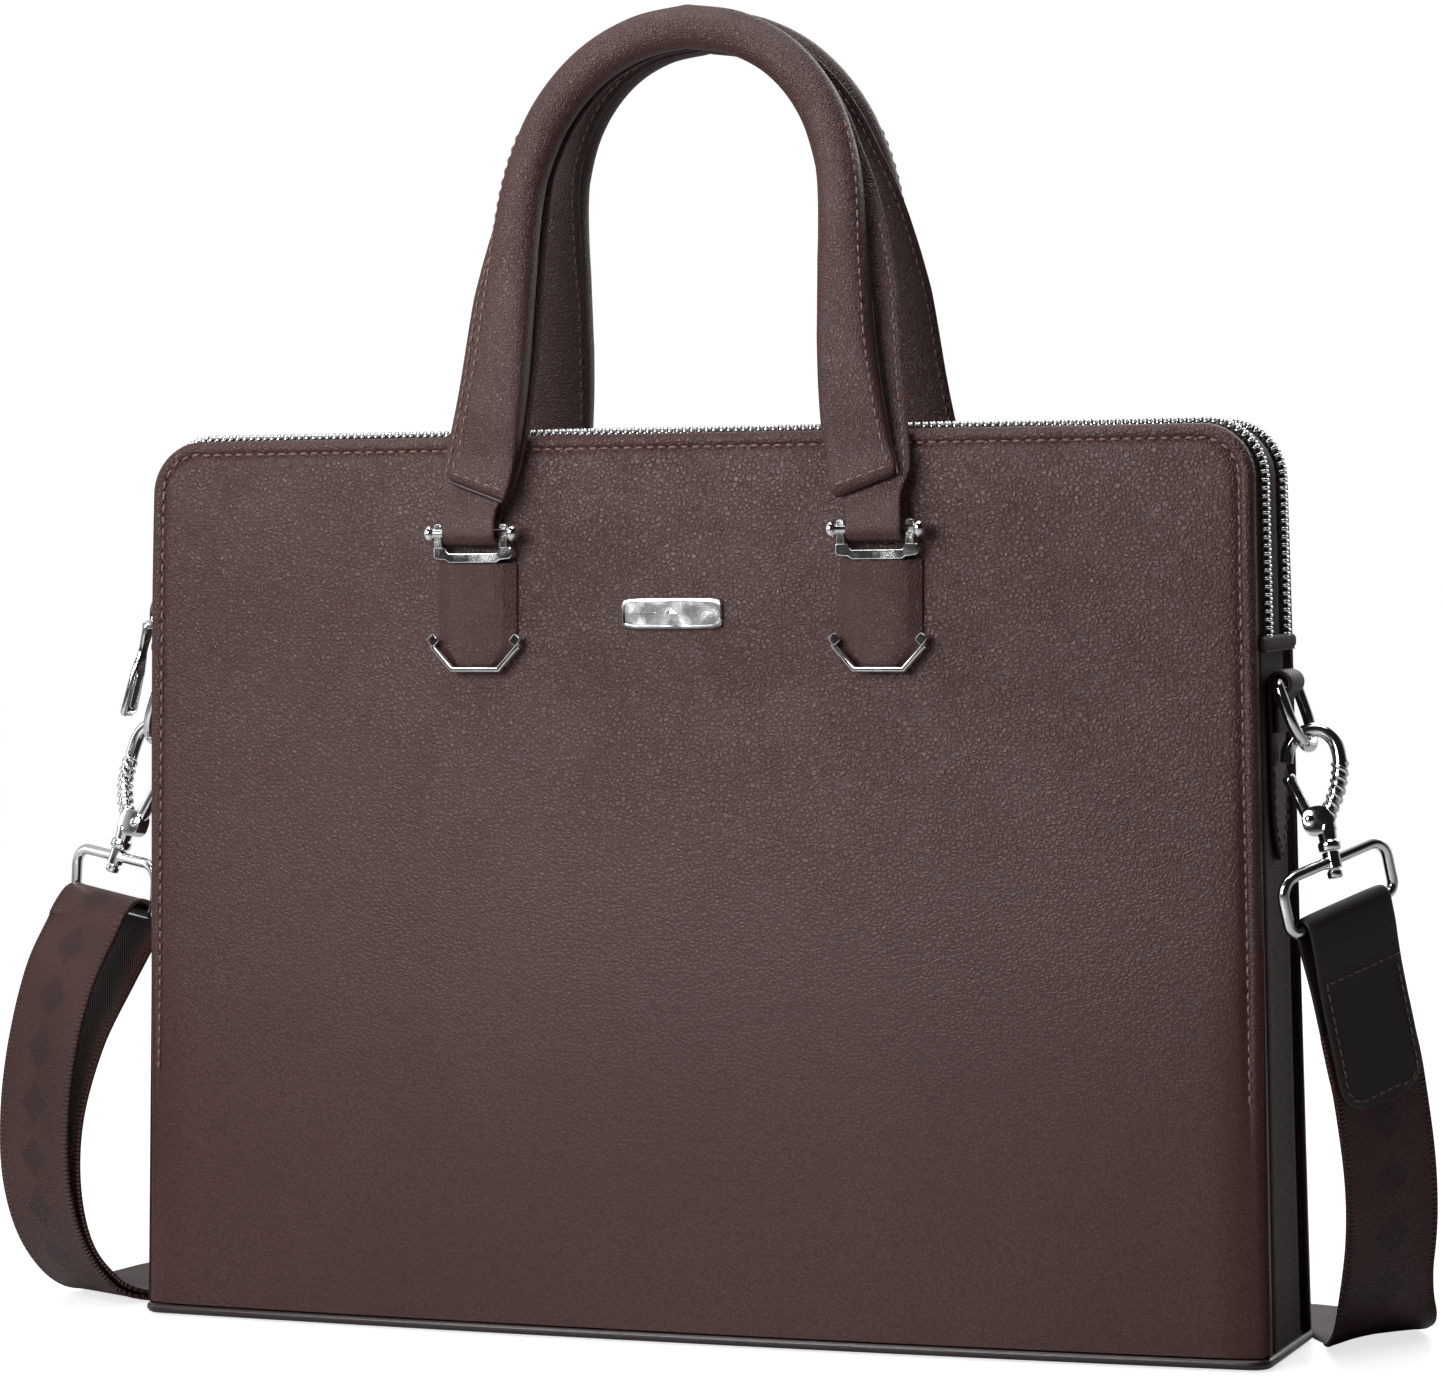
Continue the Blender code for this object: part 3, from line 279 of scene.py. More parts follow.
PANEL = leather("panel_leather", BROWN, BROWN_LIGHT, 1.5, 0.9, 0.32, fade=(60.0, 235.0), shine=0.42)
HANDLE = leather("handle_leather", BROWN, BROWN_LIGHT, 1.1, 0.75, 0.34)
SIDE = leather("gusset_leather", BROWN_DARK, BROWN, 0.95, 0.5, 0.50, shine=0.20)
MOUNT = leather("mount_leather", BROWN, BROWN_LIGHT, 1.0, 0.8, 0.36)
TAB = leather("tab_leather", BROWN_DARK, BROWN, 0.8, 0.4, 0.42, shine=0.35)
PIPING = leather("piping_leather", BROWN_DARK, BROWN_DARK, 0.9, 0.15, 0.30, coat=0.4)
STRAP_END = leather("strap_end_leather", (0.011, 0.0065, 0.006), (0.014, 0.0085, 0.008), 0.6, 0.06, 0.45)
TAPE = woven("zip_tape_cloth", (0.030, 0.011, 0.010), (0.040, 0.016, 0.014), 1500.0, 1500.0)
CLOTH = woven("lining_weave", (0.11, 0.09, 0.075), (0.15, 0.125, 0.10), 1800.0, 1800.0)
FIBRE = woven("board_fibre", (0.34, 0.29, 0.23), (0.42, 0.36, 0.29), 700.0, 900.0, 0.2, 0.9)
WEBBING = webbing_cloth("strap_webbing_weave", (0.034, 0.0105, 0.0080), (0.048, 0.0165, 0.0130))
THREAD = thread("stitch_thread", (0.080, 0.036, 0.030), (0.26, 0.16, 0.14))
DARK_THREAD = thread("strap_end_thread", (0.060, 0.022, 0.018), (0.12, 0.050, 0.042))
CHROME = chrome("polished_chrome")
TEETH = chrome("zip_teeth_metal", 0.80, 0.14, 0.3)
BADGE = chrome("badge_metal", 0.74, 0.14, 0.05)


# ---------------------------------------------------------------- mesh tools


def add_object(name, data):
    made = bpy.data.objects.new(name, data)
    bpy.context.scene.collection.objects.link(made)
    return made


def add_piece(name, solid, stock, replaced=None, sharp=60, body="bag"):
    """One visible piece from (points in millimetres, faces), riding on a body in place of a CAD node."""
    mesh = bpy.data.meshes.new(name)
    mesh.from_pydata([Vector(p) * MM for p in solid[0]], [], solid[1])
    work = bmesh.new()
    work.from_mesh(mesh)
    bmesh.ops.recalc_face_normals(work, faces=work.faces)
    work.to_mesh(mesh)
    work.free()
    mesh.shade_smooth()
    mesh.set_sharp_from_angle(angle=math.radians(sharp))
    mesh.materials.append(stock)
    made = add_object(name, mesh)
    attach(made, body)
    if replaced:
        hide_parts(replaced)
    return made


def add_metal(name, parts, replaced, sharp=50, body="bag"):
    return add_piece(name + "_metal", merge(parts), CHROME, replaced, sharp, body)


def soften(made, width, segments=2):
    edge = made.modifiers.new("edge", "BEVEL")
    edge.width = width * MM
    edge.segments = segments
    edge.limit_method = "ANGLE"
    edge.angle_limit = math.radians(35.0)
    edge.harden_normals = False


def polar(degrees, radius=1.0):
    return radius * math.cos(math.radians(degrees)), radius * math.sin(math.radians(degrees))


def arc(angles, radius, a=0.0, b=0.0):
    """Points of a circle about (a, b)."""
    return [(a + c, b + s) for c, s in (polar(t, radius) for t in angles)]


def mirrored(half):
    """Half a section and its mirror image; the last point lies on the middle line."""
    return half + [(-a, b) for a, b in reversed(half[:-1])]


def loft(rings, closed=False):
    count = len(rings[0])
    points = [p for ring in rings for p in ring]
    faces = []
    for i in range(len(rings) if closed else len(rings) - 1):
        a = i * count
        b = ((i + 1) % len(rings)) * count
        for j in range(count):
            k = (j + 1) % count
            faces.append((a + j, a + k, b + k, b + j))
    if not closed:
        last = (len(rings) - 1) * count
        faces.append(tuple(range(count))[::-1])
        faces.append(tuple(range(last, last + count)))
    return points, faces


def merge(parts):
    """Join several (points, faces) into one."""
    points, faces = [], []
    for more, cells in parts:
        base = len(points)
        points += more
        faces += [tuple(i + base for i in face) for face in cells]
    return points, faces


def place_outline(point, across, out, outline):
    return [point + across * a + out * b for a, b in outline]


def superellipse(half_a, half_b, n, count=24):
    def power(value):
        return math.copysign(abs(value) ** (2.0 / n), value)

    turns = [2 * math.pi * i / count for i in range(count)]
    return [(half_a * power(math.cos(t)), half_b * power(math.sin(t))) for t in turns]


def circle(radius, count):
    return superellipse(radius, radius, 2, count)


def prism(outline, low, high, place):
    return loft([[place(a, b, level) for a, b in outline] for level in (low, high)])


def curve_through(rows, steps):
    """Catmull-Rom curve through rows of two or three numbers, as vectors of three."""
    rows = [Vector((*r, 0)[:3]) for r in rows]
    rows = [2 * rows[0] - rows[1]] + rows + [2 * rows[-1] - rows[-2]]
    out = []
    for i in range(1, len(rows) - 2):
        for k in range(steps):
            t = k / steps
            b = rows[i + 1] - rows[i - 1]
            c = 2 * rows[i - 1] - 5 * rows[i] + 4 * rows[i + 1] - rows[i + 2]
            d = 3 * rows[i] - rows[i - 1] - 3 * rows[i + 1] + rows[i + 2]
            out.append(rows[i] + (b * t + c * t * t + d * t * t * t) * 0.5)
    out.append(rows[-2].copy())
    return out


def directions(path, closed=False):
    total = len(path)
    out = []
    for i in range(total):
        before = path[i - 1] if i or closed else path[i]
        after = path[(i + 1) % total] if i < total - 1 or closed else path[i]
        out.append((after - before).normalized())
    return out


def wire(path, radius, count=14, closed=False, guide=Y):
    """Round wire; radius is a number or one for each point, guide is off the path's plane."""
    rings = []
    for i, (point, along) in enumerate(zip(path, directions(path, closed))):
        side = along.cross(guide).normalized()
        up = side.cross(along).normalized()
        size = radius[i] if isinstance(radius, list) else radius
        rings.append(place_outline(point, side, up, circle(size, count)))
    return loft(rings, closed)


def turned(profile, base, axis, count=20):
    """Solid of revolution from (distance along axis, radius)."""
    side = axis.orthogonal().normalized()
    up = axis.cross(side).normalized()
    return loft([place_outline(base + axis * a, side, up, circle(max(r, 0.02), count)) for a, r in profile])


def resample(rows, pitch):
    """Equally spaced (point, extra vector, tangent) along rows of (point, extra vector)."""
    reach = [0.0]
    for a, b in zip(rows, rows[1:]):
        reach.append(reach[-1] + (b[0] - a[0]).length)
    count = max(int(round(reach[-1] / pitch)), 1)
    out = []
    k = 0
    for i in range(count + 1):
        s = reach[-1] * i / count
        while k < len(rows) - 2 and reach[k + 1] < s:
            k += 1
        share = (s - reach[k]) / max(reach[k + 1] - reach[k], 1e-9)
        a, b = rows[k], rows[k + 1]
        out.append((a[0].lerp(b[0], share), a[1].lerp(b[1], share).normalized(), (b[0] - a[0]).normalized()))
    return out


# One stitch as (share of its length, share of its radius, height over the leather).
STITCH = (
    (-0.5, 0.35, -0.51), (-0.36, 0.8, -0.042), (0.0, 1.0, 0.14), (0.36, 0.8, -0.042), (0.5, 0.35, -0.51),
)


def stitches(rows, pitch=STITCH_PITCH, length=3.0, radius=0.42):
    """Thread stitches along rows of (point on the surface, surface normal)."""
    parts = []
    for point, normal, along in resample(rows, pitch)[:-1]:
        centre = point + along * pitch / 2
        side = along.cross(normal).normalized()
        up = side.cross(along).normalized()
        parts.append(loft([
            place_outline(centre + along * (share * length) + up * lift, side, up, circle(radius * size, 6))
            for share, size, lift in STITCH
        ]))
    return merge(parts)


def smoothstep(value, low, high):
    t = min(max((value - low) / (high - low), 0.0), 1.0)
    return t * t * (3 - 2 * t)


def read_rows(rows, s):
    if s <= rows[0][0]:
        return rows[0][1]
    for (a, va), (b, vb) in zip(rows, rows[1:]):
        if s <= b:
            return va + (vb - va) * (s - a) / (b - a)
    return rows[-1][1]


# ---------------------------------------------------------------- body shape


def side_x(z):
    return HALF_WIDTH_BASE + (HALF_WIDTH_TOP - HALF_WIDTH_BASE) * z / BODY_HEIGHT


def half_depth(z):
    return HALF_DEPTH_BASE + (HALF_DEPTH_TOP - HALF_DEPTH_BASE) * z / BODY_HEIGHT


ARC_Z = BODY_HEIGHT - CORNER_RADIUS
ARC_X = side_x(ARC_Z) - CORNER_RADIUS


def outline_x(z, inset):
    if z <= ARC_Z:
        return side_x(z) - inset
    radius = CORNER_RADIUS - inset
    rise = min(z - ARC_Z, radius)
    return ARC_X + math.sqrt(max(radius * radius - rise * rise, 0.0))


def crown(x, z):
    if z >= CROWN_TOP:
        return 0.0
    return FACE_CROWN * max(1 - (x / side_x(z)) ** 2, 0.0) * (1 - (z / CROWN_TOP) ** 2)


def rim_distance(x, z):
    """Distance in from the sides and top of the rounded outline."""
    if z > ARC_Z and abs(x) > ARC_X:
        return CORNER_RADIUS - math.hypot(abs(x) - ARC_X, z - ARC_Z)
    return min(side_x(z) - abs(x), BODY_HEIGHT - z)


# The padded rim as (distance from the outline, depth under the plain face).
RIM_PROFILE = [
    (0.0, 3.0), (0.15, 1.9), (0.6, 0.95), (1.2, 0.35), (2.0, 0.02), (2.8, 0.0), (3.6, 0.28), (4.2, 0.72),
    (4.6, 0.95),
]
RIM_STEPS = (0.0, 0.12, 0.35, 0.7, 1.1, 1.6, 2.1, 2.7, 3.2, 3.7, 4.1, SEAM_INSET)
# Distances in from the seam and from the top, close together near the rim.
FIELD_STEPS = [0.0, 0.5, 1.0, 1.6, 2.4, 3.4, 4.8, 7.0, 10.0, 13.5]
FIELD_THICK = 2.0


def skin_depth(d, z):
    """How deep the leather lies under the plain face, at a distance d from the rim."""
    held = smoothstep(z, STITCH_LOW - 30.0, STITCH_LOW + 40.0)
    if d < SEAM_INSET:
        plain = 3.0 * max(1 - d / 3.0, 0.0) ** 2
        depth = plain + (read_rows(RIM_PROFILE, d) - plain) * held
    else:
        depth = 0.95 * held * math.exp(-((d - SEAM_INSET) / 1.7) ** 2)
    sag = 2.6 * (1 - smoothstep(z, 40.0, 240.0)) + 0.5
    roll = 1.3 * max(1 - (BODY_HEIGHT - z) / 60.0, 0.0) ** 2
    return depth + roll + sag * max(1 - d / 17.0, 0.0) ** 2


def on_crown(side, x, z, depth):
    """A point at a depth under a face."""
    return Vector((x, side * (half_depth(z) + crown(x, z) - depth), z))


def skin(side, x, z, lift=0.0):
    """A point on the leather of a face."""
    return on_crown(side, x, z, skin_depth(rim_distance(x, z), z) - lift)


def on_face(side, x, off, z):
    return Vector((x, side * (half_depth(z) + off), z))


def outline_stations(inset, low, step=2.5, turn=4.0):
    """(point, outward way) up the left side, over the top and down the right side."""
    out = []
    count = int((ARC_Z - low) / step)
    for i in range(count):
        z = low + (ARC_Z - low) * i / count
        out.append((Vector((inset - side_x(z), 0, z)), -X))
    steps = int(90 / turn)
    for i in range(steps + 1):
        across, rise = polar(180 - 90 * i / steps)
        way = Vector((across, 0, rise))
        out.append((Vector((-ARC_X, 0, ARC_Z)) + way * (CORNER_RADIUS - inset), way))
    count = int(ARC_X / (step * 1.6))
    for i in range(1, count + 1):
        out.append((Vector((-ARC_X + ARC_X * i / count, 0, BODY_HEIGHT - inset)), Z))
    return out + [(Vector((-p.x, 0, p.z)), Vector((-w.x, 0, w.z))) for p, w in reversed(out[:-1])]


# ---------------------------------------------------------------- leather faces


def panel_rim(word, side):
    """Padded turned edge of a face, outside the stitch line."""
    section = [(1.6, 5.0), (0.6, 4.8), (0.1, 4.2)] + [(d, None) for d in RIM_STEPS]
    section += [(SEAM_INSET, 3.0), (3.0, 4.2)]
    rings = []
    for point, way in outline_stations(0.0, PANEL_BOTTOM):
        ring = []
        for d, depth in section:
            spot = point - way * d
            ring.append(on_crown(side, spot.x, spot.z, skin_depth(d, spot.z) if depth is None else depth))
        rings.append(ring)
    add_piece(word + "_panel_rim", loft(rings), PANEL)


def panel_field(word, side):
    """The large leather face inside the stitch line, as a slab."""
    levels = [BODY_HEIGHT - SEAM_INSET - o for o in FIELD_STEPS]
    rows, columns = 46, 56
    levels += [levels[-1] + (PANEL_BOTTOM - levels[-1]) * i / rows for i in range(1, rows + 1)]
    levels += [z for _, z in arc(range(6, 90, 7), CORNER_RADIUS - SEAM_INSET, b=ARC_Z)]
    rings = []
    for z in sorted(set(levels)):
        reach = outline_x(z, SEAM_INSET)
        span = reach - FIELD_STEPS[-1]
        xs = [-reach + o for o in FIELD_STEPS]
        xs += [-span + 2 * span * i / columns for i in range(1, columns)]
        xs += [reach - o for o in reversed(FIELD_STEPS)]
        rings.append([skin(side, x, z) for x in xs] + [skin(side, x, z, -FIELD_THICK) for x in reversed(xs)])
    add_piece(word + "_panel_face", loft(rings), PANEL, word + "_panel")


def panel_stitching(word, side):
    rows = [(skin(side, p.x, p.z, 0.28), Y * side) for p, _ in outline_stations(SEAM_INSET, STITCH_LOW)]
    add_piece(word + "_panel_stitches", stitches(rows), THREAD)


def base_outline(inset):
    """Foot of the body, with softened corners."""
    soft = 5.0
    reach = HALF_WIDTH_BASE - inset
    xs = [(reach - soft) * i / 30 for i in range(31)]
    quarter = [(x, half_depth(0) + crown(x, 0) - inset) for x in xs]
    corner_y = quarter[-1][1]
    quarter += [(reach - soft + b, corner_y - soft + a) for a, b in arc(range(15, 91, 15), soft)]
    quarter.append((reach, corner_y * 0.4))
    right = quarter + [(x, -y) for x, y in reversed(quarter)]
    left = [(-x, -y) for x, y in right]
    return right[:-1] + left[:-1]


def build_base():
    radius = 1.6
    path = [Vector((x, y, 1.95)) for x, y in base_outline(radius * 0.7)]
    add_piece("base_piping_cord", wire(path, radius, 14, True, Z), PIPING, "base_piping", 40)
    flange = prism(base_outline(2.0), 3.0, 4.4, lambda a, b, level: Vector((a, b, level)))
    add_piece("base_seam", flange, SIDE, sharp=40)


# ---------------------------------------------------------------- zips

# One cast tooth as (distance from the middle, half length, low, high).
TOOTH = (
    (2.65, 0.28, -0.2, 0.9), (2.3, 0.55, -0.5, 1.7), (1.3, 0.60, -0.5, 2.12), (0.2, 0.56, 0.2, 2.2),
    (-0.75, 0.34, 0.6, 1.9),
)
TOOTH_PITCH = 1.25
TAPE_SECTION = (
    (5.7, -1.9), (5.7, -1.1), (8.2, -0.75), (9.0, -0.9), (10.2, -0.3), (12.8, -0.3), (14.0, -0.9),
    (18.4, -1.0), (18.4, -1.9),
)
CENTRE_DOME = mirrored([(-5.6, -1.9), (-5.7, -0.7), (-5.1, -0.1), (-3.4, 0.25), (0.0, 0.4)])


def strip_along_zip(name, section, stock, replaced):
    """A strip over the zip path; section is (y, height over the outline) points, closed."""
    rings = []
    for point, way in outline_stations(0.0, ZIP_END_Z, 3.0, 5.0):
        rings.append([point + Y * y + way * h for y, h in section])
    add_piece(name, loft(rings), stock, replaced, 50)


def build_zip(word, side):
    """Teeth from alternate tapes, and the tape beside them."""
    parts = []
    stations = resample(outline_stations(0.0, ZIP_END_Z, 2.0, 3.0), TOOTH_PITCH)
    for i, (point, way, along) in enumerate(stations):
        hand = 1 if i % 2 else -1
        rings = []
        for u, half, low, high in TOOTH:
            centre = point + Y * (side * ZIP_Y) + Y * (hand * u) + way * ((low + high) / 2)
            rings.append(place_outline(centre, along, way, superellipse(half, (high - low) / 2, 3.2, 8)))
        parts.append(loft(rings))
    add_piece(word + "_zip_teeth", merge(parts), TEETH, word + "_zip_chain", 70)
    edges = [(side * y, h) for y, h in TAPE_SECTION]
    strip_along_zip(word + "_zip_tape_cloth", edges, TAPE, word + "_zip_tape")


def gusset(word, side):
    """Bellows side wall, flat in the middle and folded beside each face."""
    foot, top, thick = 3.2, ZIP_END_Z - 4.5, 1.3
    rings = []
    for i in range(40):
        z = foot + (top - foot) * i / 39
        edge = half_depth(z) - RIM_DEPTH + 0.6
        fold = 1.6 + 3.0 * (1 - z / top)
        keys = [
            (-edge, 0.5), (-edge * 0.93, 1.0 + fold * 0.5), (-edge * 0.82, 1.2 + fold),
            (-edge * 0.70, 1.1 + fold * 0.45), (-edge * 0.60, 1.15), (-edge * 0.30, 1.35), (0.0, 1.4),
        ]
        line = curve_through(mirrored(keys), 4)
        outer = [Vector((side * (side_x(z) - p.y), p.x, z)) for p in line]
        rings.append(outer + [p - X * (side * thick) for p in reversed(outer)])
    add_piece(word + "_gusset_leather", loft(rings), SIDE, word + "_gusset", sharp=50)


def zip_end_tab(word, side):
    """Folded leather tab sewn over the ends of both zips, with its row of stitches."""
    z = ZIP_END_Z - 2.3
    edge = half_depth(z) - RIM_DEPTH - 0.4
    rings = []
    for i in range(15):
        shrink = 0.75 if i in (0, 14) else 1.0
        centre = Vector((side * (side_x(z) + 0.55), -edge + 2 * edge * i / 14, z))
        rings.append(place_outline(centre, side * X, Z, superellipse(1.5 * shrink, 2.5 * shrink, 2.6, 18)))
    add_piece(word + "_zip_end_leather", loft(rings), SIDE, word + "_zip_end_tab", sharp=40)
    reach = edge - 1.5
    rows = []
    for i in range(9):
        spot = Vector((side * (side_x(z) + 1.6), -reach + 2 * reach * i / 8, z - 2.2))
        rows.append((spot, side * X - Z * 0.8))
    add_piece(word + "_zip_end_stitches", stitches(rows, 3.2, 2.4, 0.28), THREAD, sharp=40)


# ---------------------------------------------------------------- handle mounts

PLATE_HALF = 13.5
PLATE_TOP = 246.3
PLATE_BOTTOM = 213.5
PLATE_CUT = 6.0
PLATE_LIFT = 0.3
PIN_RADIUS = 1.5
PIN_REACH = 16.3
BALL = [
    (0.0, 0.0), (0.12, 0.9), (0.5, 1.75), (1.1, 2.45), (1.8, 2.75), (2.5, 2.7), (3.0, 2.3), (3.35, 1.7),
    (3.6, 1.5),
]


def mount(name, side, x, pin):
    """Leather-covered plate between a chrome saddle bracket and a chrome trim, with the ball-ended pin."""

    def place(a, b, level):
        return on_face(side, x + a, level, b)

    # Leather: a flat middle between two sloping facets, cut corners at the foot.
    shoulder = PLATE_BOTTOM + PLATE_CUT
    levels = [PLATE_BOTTOM + PLATE_CUT * i / 6 for i in range(7)]
    levels += [shoulder + (PLATE_TOP - shoulder) * i / 14 for i in range(1, 15)]
    section = mirrored([
        (-1.0, 0.3), (-1.0, 1.1), (-0.95, 1.5), (-0.73, 3.2), (-0.69, 3.5), (-0.3, 3.8), (0.0, 3.85),
    ])
    rings = []
    for i, z in enumerate(levels):
        half = PLATE_HALF - PLATE_CUT * max(1 - (z - PLATE_BOTTOM) / PLATE_CUT, 0.0)
        low = 1.0 if i else 0.82
        rings.append([place(a * half, z, PLATE_LIFT + (h - PLATE_LIFT) * low) for a, h in section])
    add_piece(name + "_leather", loft(rings), MOUNT, name + "_plate", sharp=45)

    # Trim: a thin upright lip along the foot with a small block at each end.
    edge = PLATE_HALF + 1.0
    line = [(-edge, shoulder + 3.0), (-edge, shoulder), (-PLATE_HALF + PLATE_CUT - 0.5, PLATE_BOTTOM - 1.0)]
    flat = [Vector(p) for p in line + [(-a, b) for a, b in reversed(line)]]
    rings = []
    for i, spot in enumerate(flat):
        before = (spot - flat[i - 1]).normalized() if i else (flat[1] - spot).normalized()
        after = (flat[i + 1] - spot).normalized() if i < len(flat) - 1 else before
        way = (before + after).normalized()
        miter = Vector((-way.y, way.x)) / max(way.dot(after), 0.5)
        ring = []
        for u, level in ((-0.95, 0.3), (-0.95, 3.6), (-0.5, 4.3), (0.5, 4.3), (0.95, 3.6), (0.95, 0.3)):
            ring.append(place(*(spot + miter * u), level))
        rings.append(ring)
    parts = [loft(rings)]
    for end in (-1, 1):
        at_x, at_z = end * (PLATE_HALF + 0.7), shoulder + 2.4
        cos, sin = polar(-38 * end)
        block = superellipse(1.5, 1.6, 5, 16)
        outline = [(at_x + a * cos - b * sin, at_z + a * sin + b * cos) for a, b in block]
        parts.append(prism(outline, PLATE_LIFT, 4.7, place))
    soften(add_metal(name + "_trim", parts, name + "_trim", 30), 0.18)

    # Bracket: shoulders either side of a lower saddle, and two lugs that carry the pin.
    low, half = PLATE_TOP + 0.3, PLATE_HALF
    outline = [
        (-half, 1.8), (-half + 0.8, 1.2), (-9.6, 0.9), (-8.0, 0.0), (8.0, 0.0), (9.6, 0.9), (half - 0.8, 1.2),
        (half, 1.8), (half, 4.9), (9.8, 4.9), (8.2, 3.1), (-8.2, 3.1), (-9.8, 4.9), (-half, 4.9),
    ]
    lug = [(9.9, low + 4.6), (12.6, low + 4.6), (12.6, pin.z + 2.4), (12.0, pin.z + 3.0), (10.5, pin.z + 3.0)]
    lug.append((9.9, pin.z + 2.4))
    parts = [prism([(a, low + b) for a, b in outline], PLATE_LIFT, 5.2, place)]
    for outline in (lug, [(-a, b) for a, b in reversed(lug)]):
        parts.append(prism(outline, PLATE_LIFT, 7.0, place))
    soften(add_metal(name + "_bracket", parts, name + "_bracket", 30), 0.3, 3)

    profile = [(-PIN_REACH + a, r) for a, r in BALL]
    profile += [(-a, r) for a, r in reversed(profile)]
    pin_solid = turned(profile, Vector((x, pin.y, pin.z)), X, 28)
    add_metal(name + "_pin", [pin_solid], name + "_pin")


# ---------------------------------------------------------------- handles

HANDLE_LEAN = 10.1
MOUNT_X = 68.0
STRAP_THICK = 1.6
# Half of the arch as (distance from the middle, height over the pins).
ARCH = [
    (68.0, 3.5), (67.0, 12.0), (64.5, 26.0), (62.0, 45.0), (60.0, 68.0), (57.5, 92.0),
    (53.0, 115.0), (44.5, 135.0), (32.0, 149.5), (16.5, 158.0), (0.0, 161.0),
]
# Sections as (height over the pins, value).
STRAP_WIDTH = [
    (4, 18), (8, 18), (11, 19.5), (14, 23.5), (17, 26.3), (30, 27), (75, 25), (100, 19), (120, 13), (160, 11),
]
GRIP_WIDTH = [(10, 21.5), (30, 21), (60, 18), (90, 15.5), (115, 14), (160, 14)]
GRIP_RISE = [(10, 3.0), (20, 4.4), (35, 8.0), (60, 10.8), (90, 12.4), (160, 12.6)]
GRIP_SHIFT = [(10, 2.0), (30, 2.4), (60, 3.2), (85, 2.8), (115, 0.6), (130, 0), (160, 0)]
GRIP_BOX = [(10, 6.0), (30, 4.4), (60, 2.9), (90, 2.3), (120, 2.05), (160, 2.0)]
FLAP_END = 9.6
FLAP_SLANT = 5.0
BEAD_TOP = 84.0
# How the first stations at a flap's end shrink, in width and in rise.
END_SIZE = (0.86, 0.95, 0.985)
END_RISE = (0.45, 0.85, 1.0)
HANDLE_STITCH = (3.7, 2.8, 0.33)


def at_end(values, index):
    return values[index] if index < len(values) else 1.0


